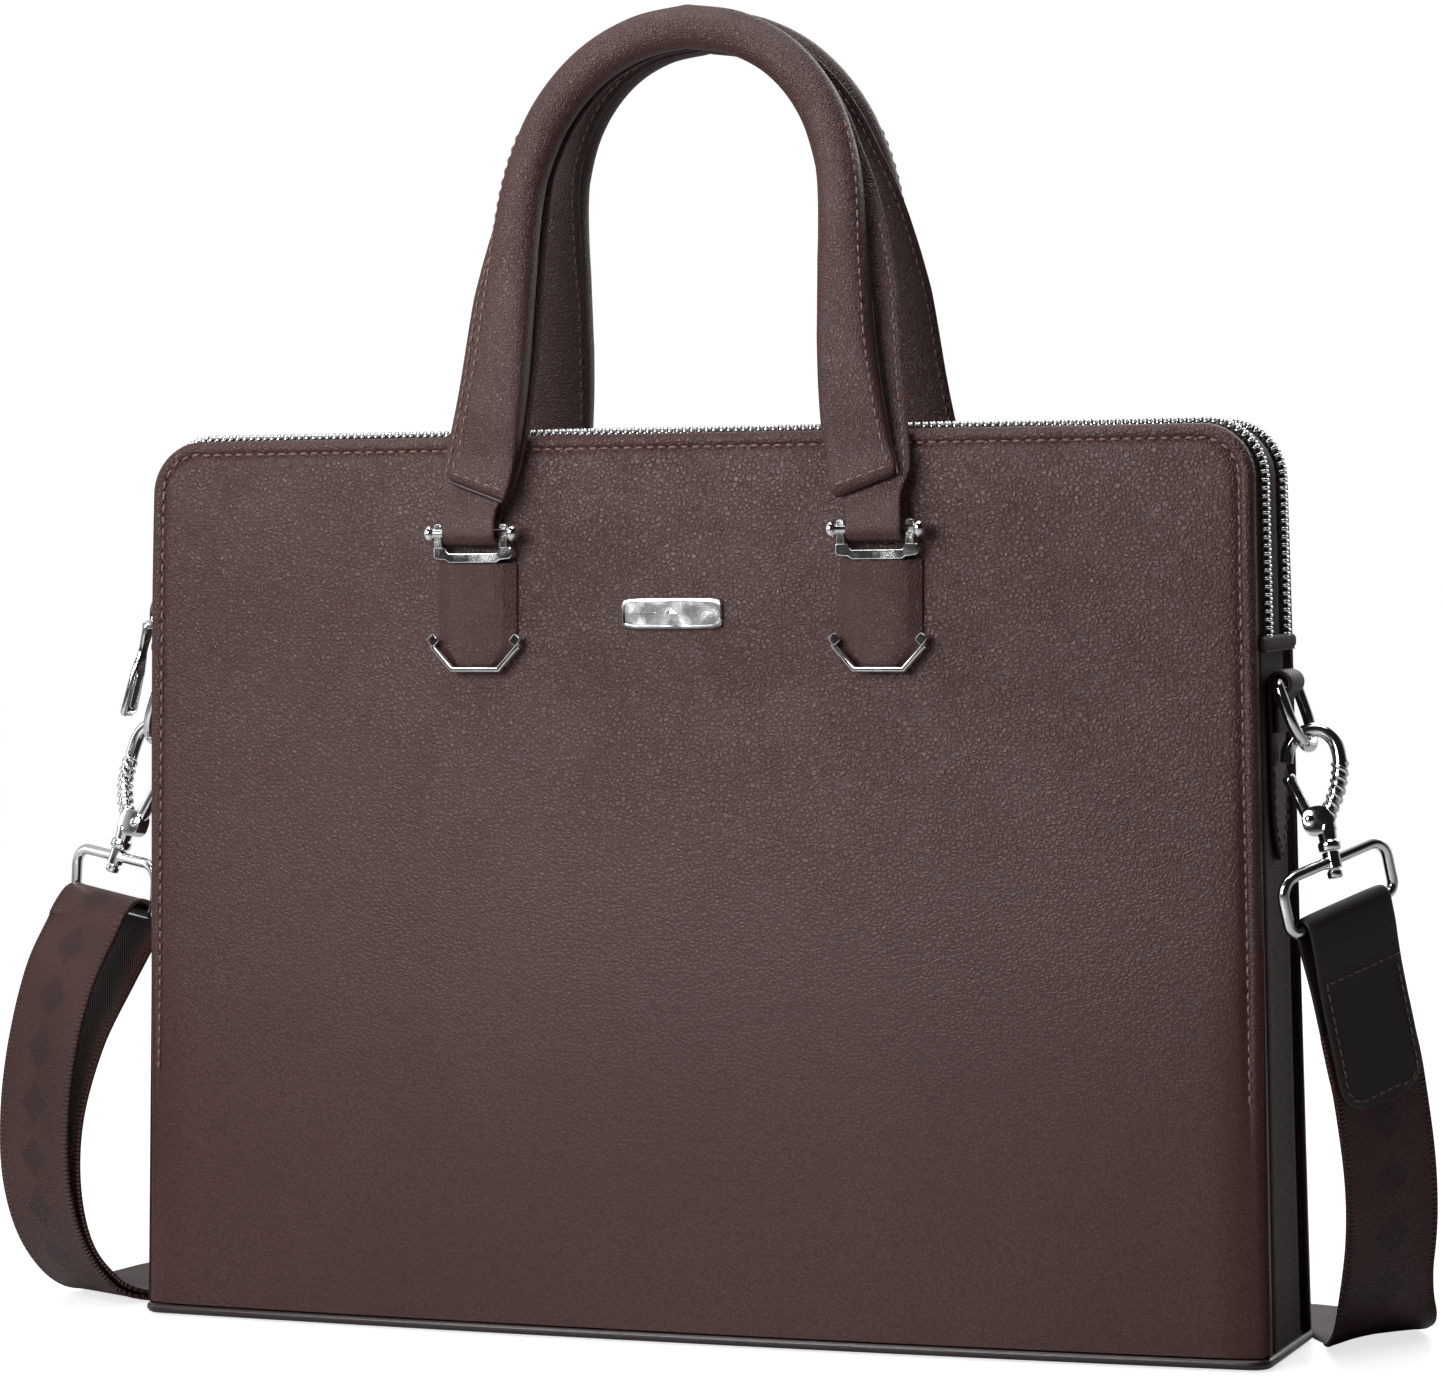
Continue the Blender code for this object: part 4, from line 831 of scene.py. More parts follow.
class Handle:
    """Places points of one handle: x across, a outward from its plane, s up from the pins."""

    def __init__(self, word, side):
        self.body = word + "_handle"
        self.pin, _ = joint(word + "_handle_swing")
        cos, sin = polar(HANDLE_LEAN)
        self.up = Vector((0, -side * sin, cos))
        self.out = Vector((0, side * cos, sin))
        self.loop_radius = PIN_RADIUS + 0.6 + STRAP_THICK / 2
        half = curve_through([(-a, b) for a, b in ARCH], 6)
        line = half + [Vector((-p.x, p.y, 0)) for p in reversed(half[:-1])]
        self.line = list(zip(line, directions(line)))

    def world(self, x, a, s):
        return self.pin + X * x + self.out * a + self.up * s

    def across(self, way):
        return (X * way.y - self.up * way.x).normalized()

    def across_up(self, way):
        """Across the strap, always towards +X."""
        made = self.across(way)
        return made if made.x > 0 else -made

    def lift(self, s):
        return read_rows([(4, self.loop_radius), (14, self.loop_radius * 0.5), (24, 0)], s)

    def strap(self):
        """Base strap with rounded edges, looped round both pins."""
        half_thick = STRAP_THICK / 2
        r = self.loop_radius
        loop = [(-r, 8.6), (-r, 6.0), (-r, 3.0)] + arc(range(180, 361, 15), r) + [(r, 1.5), (r, 3.0)]
        spots = [Vector(p) for p in loop]

        def section(half):
            return superellipse(half, half_thick, 5, 20)

        def loop_rings(x):
            made = []
            for spot, way in zip(spots, directions(spots)):
                normal = self.out * way.y - self.up * way.x
                centre = self.world(x, spot.x, spot.y)
                made.append(place_outline(centre, -X if x > 0 else X, normal, section(9.0)))
            return made

        rings = loop_rings(-MOUNT_X)
        for point, way in self.line:
            if point.y >= 4.5:
                half = read_rows(STRAP_WIDTH, point.y) / 2
                centre = self.world(point.x, self.lift(point.y), point.y)
                rings.append(place_outline(centre, self.across(way), self.out, section(half)))
        rings += loop_rings(MOUNT_X)[::-1]
        add_piece(self.body + "_base", loft(rings), HANDLE, self.body + "_strap", body=self.body)

    def grip_frame(self, point):
        """(centre of the section, half width, half rise, squareness, inward sign) at a station."""
        s = point.y
        inward = 1.0 if point.x < 0 else -1.0
        floor = STRAP_THICK / 2 + 0.25 + self.lift(s)
        rise = read_rows(GRIP_RISE, s) / 2
        centre = self.world(point.x + inward * read_rows(GRIP_SHIFT, s), floor + rise, s)
        return centre, read_rows(GRIP_WIDTH, s) / 2, rise, read_rows(GRIP_BOX, s), inward

    def slant(self, s, a, half, inward):
        """The flap's end is cut on a slant, higher on its outer side."""
        outer = (-inward * a / half + 1) / 2
        return self.up * (FLAP_SLANT * outer * max(1 - (s - FLAP_END) / 14.0, 0.0))

    def grip(self):
        """Upper leather, a flat stitched flap at each foot that rolls into the round grip."""
        rings = []
        stations = [(p, w) for p, w in self.line if p.y >= FLAP_END]
        for index, (point, way) in enumerate(stations):
            centre, half, rise, box, inward = self.grip_frame(point)
            near_end = min(index, len(stations) - 1 - index)
            flat = at_end(END_RISE, near_end)
            across = self.across(way)
            hand = 1 if across.x > 0 else -1
            ring = []
            for a, b in superellipse(half * at_end(END_SIZE, near_end), rise, box, 32):
                push = self.slant(point.y, a * hand, half, inward)
                ring.append(centre + across * a + self.out * (b * flat - rise * (1 - flat)) + push)
            rings.append(ring)
        add_piece(self.body + "_roll", loft(rings), HANDLE, self.body + "_grip", body=self.body)

    def surface(self, point, way, a_share):
        """A point just over the grip at a share of its half width, and the normal there."""
        centre, half, rise, box, inward = self.grip_frame(point)
        a = half * a_share
        height = rise * (1 - abs(a_share) ** box) ** (1 / box) + 0.1
        spot = centre + self.across_up(way) * a + self.out * height + self.slant(point.y, a, half, inward)
        steep = abs(a_share) ** (box - 1) * rise / half * 1.2
        return spot, (self.out + self.across_up(way) * math.copysign(steep, a_share)).normalized()

    def stitching(self):
        """Rows along the flap's outer edge and end, the base strap's outer edge, and both edges inside."""

        def strap_row(stations, across, hand, inset, face):
            rows = []
            for p, w in stations:
                reach = hand * (read_rows(STRAP_WIDTH, p.y) / 2 - inset)
                centre = self.world(p.x, self.lift(p.y) + face * (STRAP_THICK / 2 + 0.08), p.y)
                rows.append((centre + across(w) * reach, self.out * face))
            return stitches(rows, *HANDLE_STITCH)

        parts = []
        for foot in (-1, 1):
            side_line = [(p, w) for p, w in self.line[::-foot] if p.x * foot > 0 and p.y <= 128.0]
            edge = []
            for p, w in side_line:
                if p.y > 13.5:
                    edge.append(self.surface(p, w, foot * (0.80 + 0.1 * smoothstep(p.y, 70, 128))))
            station = next(row for row in side_line if row[0].y > 12.4)
            end = [self.surface(*station, foot * share) for share in (-0.86, -0.6, -0.3, 0.0, 0.3, 0.6, 0.74)]
            parts.append(stitches(end + edge[1:], *HANDLE_STITCH))
            rim = [row for row in side_line if 14.5 < row[0].y < 96.0]
            parts.append(strap_row(rim, self.across_up, foot, 1.9, 1))
        inner = [row for row in self.line if row[0].y > 15.0]
        for edge in (-1, 1):
            parts.append(strap_row(inner, self.across, edge, 2.0, -1))
        add_piece(self.body + "_stitches", merge(parts), THREAD, body=self.body)

    def edge_bead(self):
        """Turned edge of the flap: a bead along its outer edge and, at the left foot, along its end.

        At the right foot the bead runs the other way and its last points lie inside the grip.
        """

        def spot(point, way, share):
            centre, half, rise, _, inward = self.grip_frame(point)
            a = half * share
            push = self.slant(point.y, a, half, inward)
            return centre + self.across_up(way) * a - self.out * (rise * 0.35) + push

        parts = []
        for foot in (-1, 1):
            line = [(p, w) for p, w in self.line[::-1] if p.x * foot > 0 and FLAP_END <= p.y <= BEAD_TOP]
            last = len(line) - 1
            path = [spot(p, w, foot * at_end(END_SIZE, last - i)) for i, (p, w) in enumerate(line)]
            path += [spot(*line[last], foot * share) for share in (0.6, 0.2, -0.2, -0.6, -0.86)]
            parts.append(wire(path, 0.6, 8, guide=self.out))
        add_piece(self.body + "_edge", merge(parts), PIPING, body=self.body)


def build_handles():
    for word, side in FACES:
        made = Handle(word, side)
        made.strap()
        made.grip()
        made.stitching()
        made.edge_bead()
        for hand, end in ENDS:
            mount(word + "_" + hand + "_mount", side, end * MOUNT_X, made.pin)


def build_badge():
    """Plain generic badge: a raised rounded bar with a sunk field and a small diamond boss."""
    middle, reach = node_box("badge_plate")

    def place(a, b, level):
        return on_face(-1, middle.x + a, level, middle.z + b)

    rings = []
    for shrink, level in ((0.0, 0.3), (0.0, 1.2), (0.35, 1.75), (0.9, 1.8), (1.25, 1.35), (1.3, 1.3)):
        outline = superellipse(reach.x - shrink, reach.z - shrink, 7, 48)
        rings.append([place(a, b, level) for a, b in outline])
    facets = [(2.6, 0.0), (0.0, 2.3), (-2.6, 0.0), (0.0, -2.3)]
    boss = []
    for size, level in ((1.0, 1.2), (0.92, 1.6), (0.15, 2.2)):
        boss.append([place(a * size, b * size, level) for a, b in facets])
    parts = [loft(rings), loft(boss)]
    for end in (-9.0, 9.0):
        parts.append(prism([(end + a, b) for a, b in superellipse(3.8, 0.45, 6, 16)], 1.2, 1.75, place))
    add_piece("badge", merge(parts), BADGE, "badge_plate", 25)


# ---------------------------------------------------------------- zip sliders

SLIDER_Z = 231.0
SLIDER_CAP = 2.5
PULL_TILT = 16.0
# (height over the slider's middle, half width) of its domed body.
SLIDER_BODY = [(-6.6, 3.2), (-6.0, 4.0), (-4.0, 4.7), (0.0, 4.9), (3.5, 4.6), (5.6, 3.6), (6.5, 2.7)]
# (drop from the hinge, half width, half thickness) of the pull.
PULL = [
    (-1.6, 1.6, 0.7), (-1.0, 2.5, 0.95), (0.5, 2.9, 1.05), (3.5, 2.7, 1.05), (6.5, 2.2, 1.0),
    (9.0, 2.1, 1.0), (12.0, 3.0, 1.1), (15.0, 3.7, 1.2), (22.0, 4.2, 1.25), (28.0, 4.6, 1.3),
    (30.0, 4.3, 1.2), (31.0, 3.4, 0.9),
]


def zip_slider(word, side):
    """Domed slider body with side wings and a bridge, and its long flat pull."""
    cap = SLIDER_CAP
    rings = []
    for level, half in SLIDER_BODY:
        z = SLIDER_Z + level
        base = Vector((-side_x(z), side * ZIP_Y, z))
        section = mirrored([
            (-half, cap - 2.4), (-half, cap + 0.5), (-half + 0.5, cap + 1.1), (-half * 0.5, cap + 1.45),
            (0.0, cap + 1.55),
        ])
        inner = [(half - 0.9, cap - 2.4), (half - 0.95, cap + 0.25)]
        section += inner + [(-a, b) for a, b in reversed(inner)]
        rings.append([base + Y * a - X * b for a, b in section])
    path = []
    for rise, out in arc(range(0, 181, 15), 1.0):
        z = SLIDER_Z - 0.3 + 4.6 * rise
        path.append(Vector((-side_x(z) - cap - 1.0 - 2.6 * out, side * ZIP_Y, z)))
    parts = [loft(rings), wire(path, 0.85, 12)]
    soften(add_metal(word + "_slider", parts, word + "_zip_slider", 35, word + "_slider"), 0.2)

    hinge, _ = joint(word + "_pull_swing")
    cos, sin = polar(PULL_TILT)
    down, out = Vector((-sin, 0, -cos)), Vector((-cos, 0, sin))
    parts = [loft([
        place_outline(hinge + down * drop, Y, out, superellipse(half, thick, 4.5, 24))
        for drop, half, thick in PULL
    ])]
    for face in (-1, 1):
        middle = hinge + down * 22.0 + out * (face * 1.15)
        raised = []
        for size, rise in ((1, 0), (1, 0.25), (0.9, 0.38)):
            outline = [(a * size, b * size) for a, b in superellipse(2.6, 6.2, 6, 28)]
            raised.append(place_outline(middle + out * (face * rise), Y, down, outline))
        parts.append(loft(raised))
    parts.append(turned([(-2.4, 0.9), (-2.3, 1.3), (2.3, 1.3), (2.4, 0.9)], hinge, Y, 16))
    add_metal(word + "_pull", parts, word + "_zip_pull", 40, word + "_pull")


# ---------------------------------------------------------------- side fittings

D_BAR_Z = 207.5
D_WIRE = 1.8
D_HALF = 11.5
D_DROP = 21.0
D_CORNER = 2.4
D_TILT = 20.0
RING_WIRE = 1.75
RING_HALF = 22.2
RING_HIGH = 17.0
HOOK_NECK = 8.7
TWIST_STEP = 0.6
TWIST_PITCH = 5.4
TWIST_REACH = 2.05
LOOP_THICK = 1.8
LOOP_HALF = 9.0
LOOP_SEAT = LOOP_THICK / 2 + 0.3
WALL = 1.4  # how far the gusset lies inside the outline
# (share of the length, half width, half depth) of the hook's gate.
GATE = (
    (0.06, 1.3, 1.4), (0.10, 1.8, 1.9), (0.2, 2.0, 2.1), (0.5, 1.85, 2.1), (0.8, 1.8, 2.1),
    (0.88, 2.1, 2.3), (0.96, 2.1, 2.3), (0.99, 1.8, 2.0), (1.0, 1.2, 1.5),
)


def d_down(side):
    """The way a D-ring hangs from its bar."""
    cos, sin = polar(D_TILT)
    return Vector((side * sin, 0, -cos))


def loop_tab(word, side):
    """Leather tab with a pointed foot, sewn down the gusset and curled over the D-ring's bar."""
    bar, _ = joint(word + "_d_ring_swing")
    bar_out = abs(bar.x) - side_x(D_BAR_Z) + WALL
    radius = D_WIRE + 0.5 + LOOP_THICK / 2
    line = [(LOOP_SEAT, z) for z in (153.0, 160.0, 172.0, 185.0, 197.0, D_BAR_Z - 2.0)]
    line += arc(range(172, -51, -14), radius, bar_out, D_BAR_Z)
    under = LOOP_SEAT + LOOP_THICK
    line += [(under + a, D_BAR_Z - radius - b) for a, b in ((0.6, 3.0), (0.35, 7.0), (0.35, 12.0))]
    widths = [0.9, 5.6, 8.6] + [LOOP_HALF] * (len(line) - 3)
    fine = curve_through([(*p, half) for p, half in zip(line, widths)], 3)
    rings = []
    for spot, way in zip(fine, directions([p.to_2d() for p in fine])):
        centre = Vector((side * (side_x(spot.y) - WALL + spot.x), 0, spot.y))
        outline = superellipse(max(min(spot.z, LOOP_HALF), 0.8), LOOP_THICK / 2, 4, 20)
        rings.append(place_outline(centre, Y, Vector((side * way.y, 0, -way.x)), outline))
    add_piece(word + "_loop_leather", loft(rings), TAB, word + "_loop_tab")

    half = [(-7.2, 188.0), (-7.2, 180.0), (-7.2, 172.0), (-6.6, 165.0), (-4.2, 160.5), (0.0, 156.0)]
    lift = LOOP_SEAT + LOOP_THICK / 2 + 0.12 - WALL
    rows = [(Vector((side * (side_x(z) + lift), y, z)), side * X) for y, z in mirrored(half)]
    add_piece(word + "_loop_stitches", stitches(rows, 3.4, 2.5, 0.3), THREAD)


def d_ring(word, side):
    bar, _ = joint(word + "_d_ring_swing")
    down = d_down(side)
    low = D_DROP - D_HALF
    bend = [(D_HALF - D_CORNER + s, D_CORNER - c) for c, s in arc((30, 60, 90), D_CORNER)]
    bend.append((D_HALF, (D_CORNER + low) / 2))
    flat = [(D_CORNER - D_HALF, 0), (-3.0, 0), (3.0, 0), (D_HALF - D_CORNER, 0)] + bend
    flat += arc(range(0, 181, 12), D_HALF, b=low) + [(-a, b) for a, b in reversed(bend)]
    path = place_outline(bar, Y, down, flat)
    name = word + "_d_ring"
    add_metal(name, [wire(path, D_WIRE, 18, True, Y.cross(down))], name, 60, name)


class Fitting:
    """Axes of one side's strap ring and snap hook, read from the frame's joints."""

    def __init__(self, word, side):
        self.word = word
        self.side = side
        self.bar, self.across = joint(word + "_strap_ring_tilt")
        self.up = (Z - self.across * Z.dot(self.across)).normalized()
        self.out = -self.across.cross(self.up).normalized()
        self.boss, self.shank = joint(word + "_hook_swivel")
        self.gate_root, gate_axis = joint(word + "_gate_swing")
        self.hook_out = gate_axis * side
        self.hook_side = self.hook_out.cross(self.shank).normalized()
        bar, _ = joint(word + "_d_ring_swing")
        self.span = (bar + d_down(side) * D_DROP + Z * 0.8 - self.boss).length

    def at(self, sideways, rise):
        """A point of the hook, from its neck."""
        return self.boss + self.hook_side * (sideways * self.side) + self.shank * (HOOK_NECK + rise)


def rounded_box(half, low, high, low_corner, high_corner):
    """The four rounded corners of a rectangle, anticlockwise from the upper right."""
    corners = []
    for hand, level, size, start in (
        (1, high - high_corner, high_corner, 0), (-1, high - high_corner, high_corner, 90),
        (-1, low + low_corner, low_corner, 180), (1, low + low_corner, low_corner, 270),
    ):
        corners.append(arc(range(start, start + 91, 15), size, hand * (half - size), level))
    return corners


def strap_ring(fit):
    """Rectangular wire ring with rounded corners, and the barrel the hook turns in."""
    corners = rounded_box(RING_HALF, 0.0, RING_HIGH, 3.4, 6.0)
    flat = corners[0] + [(0.0, RING_HIGH)] + corners[1] + corners[2] + [(0.0, 0.0)] + corners[3]
    ring = wire(place_outline(fit.bar, fit.across, fit.up, flat), RING_WIRE, 18, True, fit.out)
    barrel = turned([(-2.6, 2.2), (-2.4, 2.7), (2.4, 2.7), (2.6, 2.2)], fit.boss, fit.shank, 24)
    name = fit.word + "_strap_ring"
    add_metal(name, [ring, barrel], name, 60, name)


def snap_hook(fit):
    """Swivel stud and head, body with a rivet, twisted outer limb and the hooked end."""
    span = fit.span
    # Swivel: a flanged stud under the ring's wire and a head over it.
    stud = [(-5.6, 0.8), (-5.5, 2.0), (-5.1, 2.3), (-3.6, 2.3), (-3.3, 1.9), (-2.9, 1.8)]
    head = [(2.9, 2.0), (3.0, 3.0), (3.3, 3.4), (5.2, 3.5), (5.8, 3.1), (6.1, 2.7), (8.6, 2.9), (9.4, 3.0)]
    parts = [turned(profile, fit.boss, fit.shank, 24) for profile in (stud, head)]
    line = [
        (0.0, 0.6), (0.6, 3.4), (2.6, 7.2), (5.2, 11.4), (7.3, 17.0), (8.2, span - 14.0), (7.5, span - 9.0),
        (4.7, span - 5.6), (0.6, span - 4.6), (-3.4, span - 5.8), (-6.6, span - 9.0), (-8.0, span - 13.2),
    ]
    path = curve_through([fit.at(a, b) for a, b in line], 8)
    sizes = []
    for i in range(len(path)):
        share = i / (len(path) - 1)
        sizes.append((3.1 - 0.9 * smoothstep(share, 0.0, 0.2)) * (1.0 - 0.08 * smoothstep(share, 0.9, 1.0)))
    parts.append(wire(path, sizes, 18, guide=fit.hook_out))
    # Rope twist: two raised strands wound round the outer limb.
    limb = path[int(len(path) * 0.14):int(len(path) * 0.43)]
    fine = resample(list(zip(limb, directions(limb))), TWIST_STEP)
    for start in (0.0, 180.0):
        strand = []
        for k, (spot, _, along) in enumerate(fine):
            side = along.cross(fit.hook_out).normalized()
            turn = polar(start + k * TWIST_STEP / TWIST_PITCH * 360.0, TWIST_REACH)
            strand += place_outline(spot, side, fit.hook_out, [turn])
        parts.append(wire(strand, 0.80, 8, guide=fit.hook_out))
    # Flattened boss that holds the gate's rivet.
    root = fit.gate_root
    middle = root.lerp(fit.at(0.4, 3.2), 0.45)
    boss = []
    for level, size in ((-2.9, 0.86), (-2.6, 1.0), (2.6, 1.0), (2.9, 0.86)):
        outline = superellipse(4.5 * size, 4.4 * size, 2.6, 24)
        boss.append(place_outline(middle + fit.hook_out * level, fit.hook_side, fit.shank, outline))
    rivet = [(-3.3, 0.4), (-3.2, 1.1), (-2.9, 1.5), (2.9, 1.5), (3.2, 1.1), (3.3, 0.4)]
    parts += [loft(boss), turned(rivet, root, fit.hook_out, 20)]
    name = fit.word + "_snap_hook"
    add_metal(name, parts, name, 50, name)


def hook_gate(fit):
    """Slim lever from the rivet to the hook's nose, thicker at the thumb end."""
    low = fit.gate_root
    reach = fit.at(-8.4, fit.span - 17.2) - low
    side = fit.hook_out.cross(reach).normalized()
    rings = []
    for share, wide, deep in GATE:
        outline = superellipse(wide, deep, 3.0, 18)
        rings.append(place_outline(low + reach * share, side, fit.hook_out, outline))
    name = fit.word + "_hook_gate"
    add_metal(name, [loft(rings)], name, 50, name)


# ---------------------------------------------------------------- shoulder strap

WEB_WIDTH = 38.0
WEB_THICK = 1.4
LEFT_HEADING = -26.0
LEFT_TILT = -6.0
RIGHT_HEADING = 56.0
STRAP_Y = 67.0
STRAP_SLIDER_X = 22.0
# The outer layer at the left as (away from the ring, sideways, height).
LEFT_OUTER = [
    (13.5, 0.0, 126.0), (21.5, 2.0, 110.0), (27.0, 4.5, 88.0), (29.5, 6.5, 64.0), (28.5, 7.5, 41.0),
    (22.5, 7.5, 21.0), (12.0, 6.0, 6.5), (0.0, 4.0, 1.1),
]
LAYER_GAPS = [2.1, 2.3, 2.7, 4.0, 6.0, 11.0, 17.0, 17.6]
# Round the corner, behind the bag and up to the right ring, as (x, y, z, heading of the width).
LEFT_RUN = [
    (-212.0, 14.0, 1.0, -26), (-210.5, 28.0, 1.0, -30), (-208.0, 42.0, 1.0, -40), (-199.0, 57.0, 1.0, -57),
    (-181.0, 66.0, 1.0, -76), (-150.0, STRAP_Y, 1.0, -90), (-90.0, STRAP_Y, 1.0, -90),
    (-30.0, STRAP_Y, 1.0, -90),
]
OVER_SLIDER = (
    (-24.0, 1.0), (-13.0, 1.6), (-5.5, 7.0), (0.0, 8.6), (5.5, 7.0), (13.0, 1.6), (24.0, 1.0), (48.0, 1.0),
    (88.0, 1.0),
)
RIGHT_RUN = [
    (150.0, STRAP_Y - 1.0, 1.0, -94), (177.0, 65.0, 1.0, -107), (194.5, 54.0, 1.0, -119),
    (206.5, 40.0, 1.3, -124), (212.0, 27.0, 7.0, -124), (215.5, 18.5, 20.0, -124),
    (218.0, 15.5, 38.0, -124), (218.0, 13.5, 58.0, -124),
]


def heading_vector(degrees):
    return Vector((*polar(degrees), 0))


def strap_stations(left, right):
    """(point, width direction) along the webbing, from its sewn end under the slider to the right ring."""
    across = heading_vector(LEFT_HEADING)
    away_way = Vector((across.y, -across.x, 0))

    def left_row(away, sideways, height):
        spot = Vector((left.bar.x, left.bar.y, height)) + away_way * away - across * sideways
        return (*spot, LEFT_HEADING)

    rows = [(STRAP_SLIDER_X + a, STRAP_Y, z, -90) for a, z in ((5.0, 2.0), (-3.0, 2.2), (-12.0, 2.6))]
    rows += [(x, y, z + WEB_THICK + 0.5, turn) for x, y, z, turn in reversed(LEFT_RUN)]
    for (away, sideways, height), gap in zip(reversed(LEFT_OUTER), LAYER_GAPS):
        rows.append(left_row(away - gap, sideways, height + (1.6 if height < 10 else 0.0)))
    over = left.bar.z + RING_WIRE + 0.5 + WEB_THICK / 2 + 1.4
    for away, height in ((-2.6, left.bar.z + 0.8), (0.6, over), (5.5, over - 0.2), (10.3, left.bar.z - 0.6)):
        rows.append(left_row(away, 0.0, height))
    rows += [left_row(*spot) for spot in LEFT_OUTER] + LEFT_RUN
    rows += [(STRAP_SLIDER_X + a, STRAP_Y, z, -90) for a, z in OVER_SLIDER] + RIGHT_RUN
    for drop in (56.0, 44.0, 34.0):
        rows.append((*(right.bar - right.up * drop), RIGHT_HEADING - 180))
    stations = []
    turns = curve_through([(r[3], 0, 0) for r in rows], 8)
    for point, turn in zip(curve_through([r[:3] for r in rows], 8), turns):
        width = heading_vector(turn.x)
        if point.x < 0:
            width.z = math.sin(math.radians(LEFT_TILT)) * min(max((point.z - 90.0) / 25.0, 0.0), 1.0)
        stations.append([point, width])
    ending = 20
    for back in range(1, ending + 1):
        share = (ending + 1 - back) / ending
        stations[-back][1] = (stations[-back][1] * (1 - share) - right.across * share).normalized()
    return stations


def webbing(left, right):
    """The strap's webbing with thicker selvedges, its length in millimetres written to a strip map."""
    section = []
    for share in (-1.0, -0.985, -0.95, -0.90, -0.86, -0.5, 0.0, 0.5, 0.86, 0.90, 0.95, 0.985, 1.0):
        cord = 0.12 if 0.87 < abs(share) < 0.99 else 0.0
        section.append((share, 0.62 + cord if abs(share) < 0.99 else 0.25))
    section += [(share, -high) for share, high in reversed(section)]
    stations = strap_stations(left, right)
    path = [p for p, _ in stations]
    rings, strip = [], []
    reach = 0.0
    for i, ((point, width), along) in enumerate(zip(stations, directions(path))):
        side = (width - along * width.dot(along)).normalized()
        normal = along.cross(side).normalized()
        reach += (point - path[i - 1]).length if i else 0.0
        rings.append(place_outline(point, side * (WEB_WIDTH / 2), normal, section))
        strip += [((share + 1) / 2, reach) for share, _ in section]
    made = add_piece("strap_web", loft(rings), WEBBING, "strap_webbing")
    layer = made.data.uv_layers.new(name="strip")
    for loop in made.data.loops:
        layer.data[loop.index].uv = strip[loop.vertex_index]


def strap_slider():
    """Polished three-bar slide on the doubled webbing behind the bag."""
    middle, size = node_box("strap_slider")
    half_x, half_y = size.x - 1.1, size.y - 1.1
    flat = sum(rounded_box(half_x, -half_y, half_y, 3.0, 3.0), [])
    bar = [middle + Y * (half_y * share) for share in (-1.0, -0.5, 0.0, 0.5, 1.0)]
    parts = [wire(place_outline(middle, X, Y, flat), 1.2, 16, True, Z), wire(bar, 1.15, 16, guide=Z)]
    add_metal("strap_slide", parts, "strap_slider")


def strap_end(right):
    """Leather end folded over the right ring's bar, rounded at its foot and stitched all round."""
    thick, half, length, foot = 1.7, 17.5, 60.0, 9.0
    radius = RING_WIRE + 0.5 + thick / 2
    sheet = WEB_THICK / 2 + 0.3 + thick / 2
    front = curve_through([
        (radius, 0.0), (radius, 4.0), (radius * 0.96, 8.0), (sheet + 0.5, 15.0), (sheet + 0.1, 22.0),
        (sheet, 32.0), (sheet, 45.0), (sheet, length),
    ], 8)
    turn = [Vector((a, -b, 0)) for a, b in arc(range(165, 0, -15), radius)]
    line = [Vector((-p.x, p.y, 0)) for p in reversed(front)] + turn + front
    rings = []
    for spot, way in zip(line, directions(line)):
        centre = right.bar + right.out * spot.x - right.up * spot.y
        below = length - spot.y
        wide = half
        if below < foot:
            wide = half - foot + max(math.sqrt(max(foot * foot - (foot - below) ** 2, 0.0)) + 0.01, 1.0)
        outline = superellipse(wide, thick / 2, 4.5, 24)
        rings.append(place_outline(centre, right.across, right.out * way.y + right.up * way.x, outline))
    add_piece("strap_end_tab", loft(rings), STRAP_END, "strap_end_leather")

    inset, start = 2.6, 18.0
    outline = [(0.0, start), (half - inset, start), (half - inset, length - foot)]
    outline += arc(range(15, 91, 15), foot - inset, half - foot, length - foot)
    parts = []
    for face in (-1, 1):
        rows = []
        for a, b in outline + [(-a, b) for a, b in reversed(outline)]:
            rise = read_rows([(15.0, sheet + 0.5), (22.0, sheet + 0.1), (32.0, sheet)], b) + thick / 2 + 0.1
            spot = right.bar + right.across * a - right.up * b + right.out * (face * rise)
            rows.append((spot, right.out * face))
        parts.append(stitches(rows, 3.5, 2.7, 0.32))
    add_piece("strap_end_stitches", merge(parts), DARK_THREAD)


def build_fittings():
    fits = []
    for word, side in ENDS:
        loop_tab(word, side)
        d_ring(word, side)
        fit = Fitting(word, side)
        strap_ring(fit)
        snap_hook(fit)
        hook_gate(fit)
        fits.append(fit)
    webbing(*fits)
    strap_slider()
    strap_end(fits[1])


# ---------------------------------------------------------------- camera, light and floor

# Camera at the photograph's viewing angle, in degrees and metres.
CAMERA_AZIMUTH, CAMERA_PITCH, CAMERA_ROLL = 20.43, 2.07, -0.71
CAMERA_SPOT = (0.52905, -1.40562, 0.25958)
CAMERA_LENS = 116.8
FLOOR_HALF = 14.0
FLOOR_GLOW = 0.72  # brings the floor behind the bag up to white in the picture alone
DARK_WAY = (0.62, -0.78, 0.0)  # from the bag towards the dark side of the surround
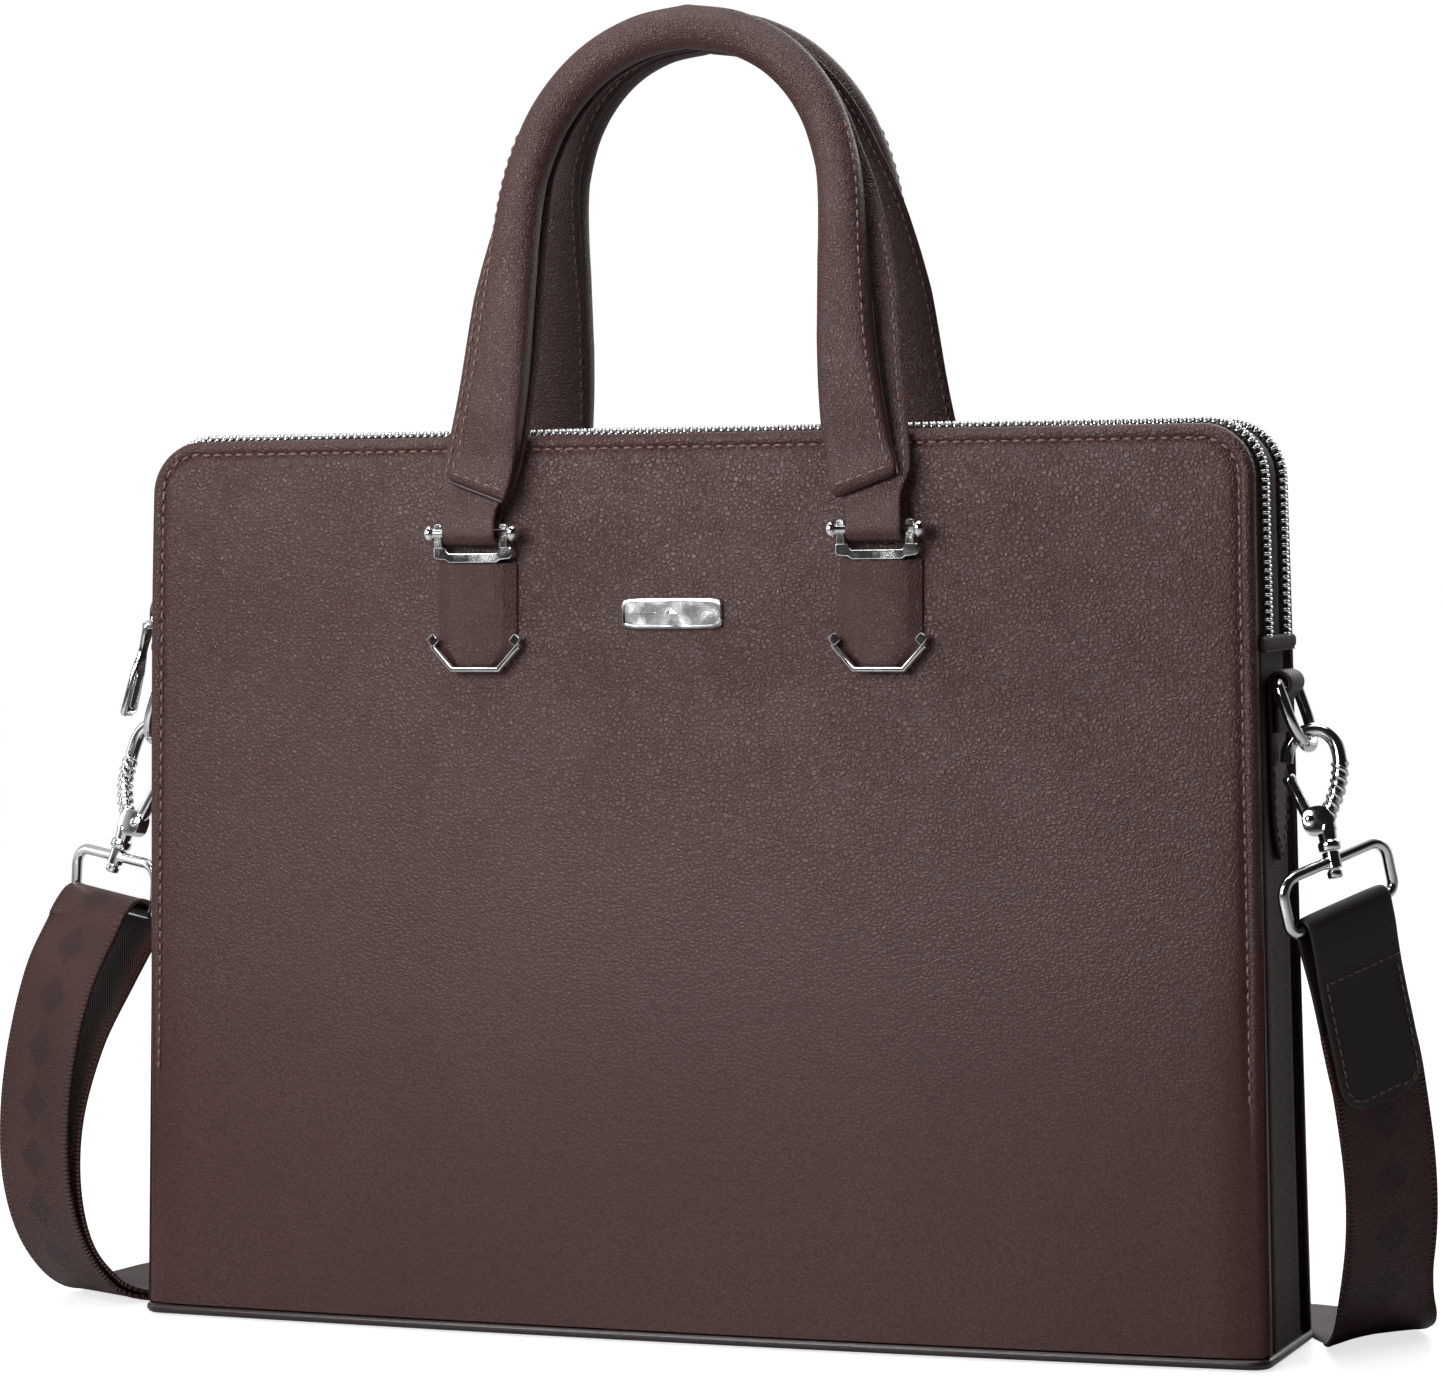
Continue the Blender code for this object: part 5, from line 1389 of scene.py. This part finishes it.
# Soft boxes as (name, place, aim, size, watts), in metres.
LIGHTS = (
    ("key", (-0.42, -1.15, 0.50), (0, 0, 0.28), (0.75, 0.16), 8.0),
    ("front", (-0.15, -0.50, 0.50), (0, 0, 0.26), (0.50, 0.12), 2.1),
    ("top", (0.0, -0.05, 0.95), (0, 0, 0.1), (0.9, 0.4), 4.5),
    ("left", (-1.5, -0.3, 0.7), (0, 0, 0.2), (0.4, 1.3), 3.0),
    ("rear", (0.3, 1.5, 1.0), (0, 0, 0.25), (1.2, 0.8), 8.0),
)


def build_camera():
    (cos_a, sin_a), (cos_p, sin_p), (cos_r, sin_r) = map(polar, (CAMERA_AZIMUTH, CAMERA_PITCH, CAMERA_ROLL))
    ahead = Vector((-sin_a * cos_p, cos_a * cos_p, -sin_p))
    right = Vector((cos_a, sin_a, 0))
    up = right.cross(ahead)
    turn = Matrix((right * cos_r + up * sin_r, up * cos_r - right * sin_r, -ahead)).transposed()
    data = bpy.data.cameras.new("camera")
    data.lens = CAMERA_LENS
    data.sensor_width = 36.0
    data.clip_end = 20.0
    made = add_object("camera", data)
    made.matrix_world = Matrix.Translation(Vector(CAMERA_SPOT)) @ turn.to_4x4()
    bpy.context.scene.camera = made


def build_stage():
    """Pale floor, white surround with a dark side towards the viewer, and soft boxes."""
    work = new_material("floor_paint")
    work.put(
        Base_Color=work.mix(work.noise(3.0, 2.0), (0.48,) * 3, (0.50,) * 3), Roughness=0.30,
        Specular_IOR_Level=0.35, Emission_Color=(1, 1, 1, 1),
        Emission_Strength=work.math("MULTIPLY", work.add("LightPath").outputs["Is Camera Ray"], FLOOR_GLOW),
    )
    mesh = bpy.data.meshes.new("floor")
    corners = [(a * FLOOR_HALF, b * FLOOR_HALF, 0) for a, b in ((-1, -1), (1, -1), (1, 1), (-1, 1))]
    mesh.from_pydata(corners, [], [(0, 1, 2, 3)])
    mesh.materials.append(work.owner)
    floor = add_object("floor", mesh)
    floor.location.z = -0.0002

    world = bpy.data.worlds.new("surround")
    bpy.context.scene.world = world
    work = Nodes(world, "Background")
    facing = work.add("VectorMath", {"operation": "DOT_PRODUCT"}, i0=work.coords["Generated"], i1=DARK_WAY)
    lit = work.ramp(facing.outputs["Value"], -0.35, 0.30, 0.54, 0.01)
    camera_ray = work.add("LightPath").outputs["Is Camera Ray"]
    work.put(Color=(1, 1, 1, 1), Strength=work.blend(camera_ray, lit, 1.05))

    for name, spot, target, size, watts in LIGHTS:
        data = bpy.data.lights.new(name, "AREA")
        data.shape = "RECTANGLE"
        data.size, data.size_y = size
        data.energy = watts
        made = add_object(name, data)
        made.location = spot
        made.visible_camera = False
        made.rotation_euler = (Vector(target) - Vector(spot)).to_track_quat("-Z", "Y").to_euler()
    bpy.context.scene.view_settings.view_transform = "Standard"


build_camera()
build_stage()
for word, side in FACES:
    panel_rim(word, side)
    panel_field(word, side)
    panel_stitching(word, side)
build_base()
strip_along_zip("centre_strip_leather", CENTRE_DOME, SIDE, "centre_strip")
for word, side in FACES:
    build_zip(word, side)
for word, side in ENDS:
    gusset(word, side)
    zip_end_tab(word, side)
build_handles()
build_badge()
for word, side in FACES:
    zip_slider(word, side)
build_fittings()

# The CAD solids that stay visible, the inner boards and linings among them.
inner_looks = {"board": FIBRE, "lining": CLOTH, "divider": CLOTH, "core": FIBRE, "base_panel": SIDE}
leathers = ("plate", "strap", "grip", "tab", "webbing", "leather")
for name, thing in frame["nodes"].items():
    outer = MOUNT if any(k in name for k in leathers) else CHROME
    thing.data.materials.clear()
    thing.data.materials.append(next((m for key, m in inner_looks.items() if key in name), outer))
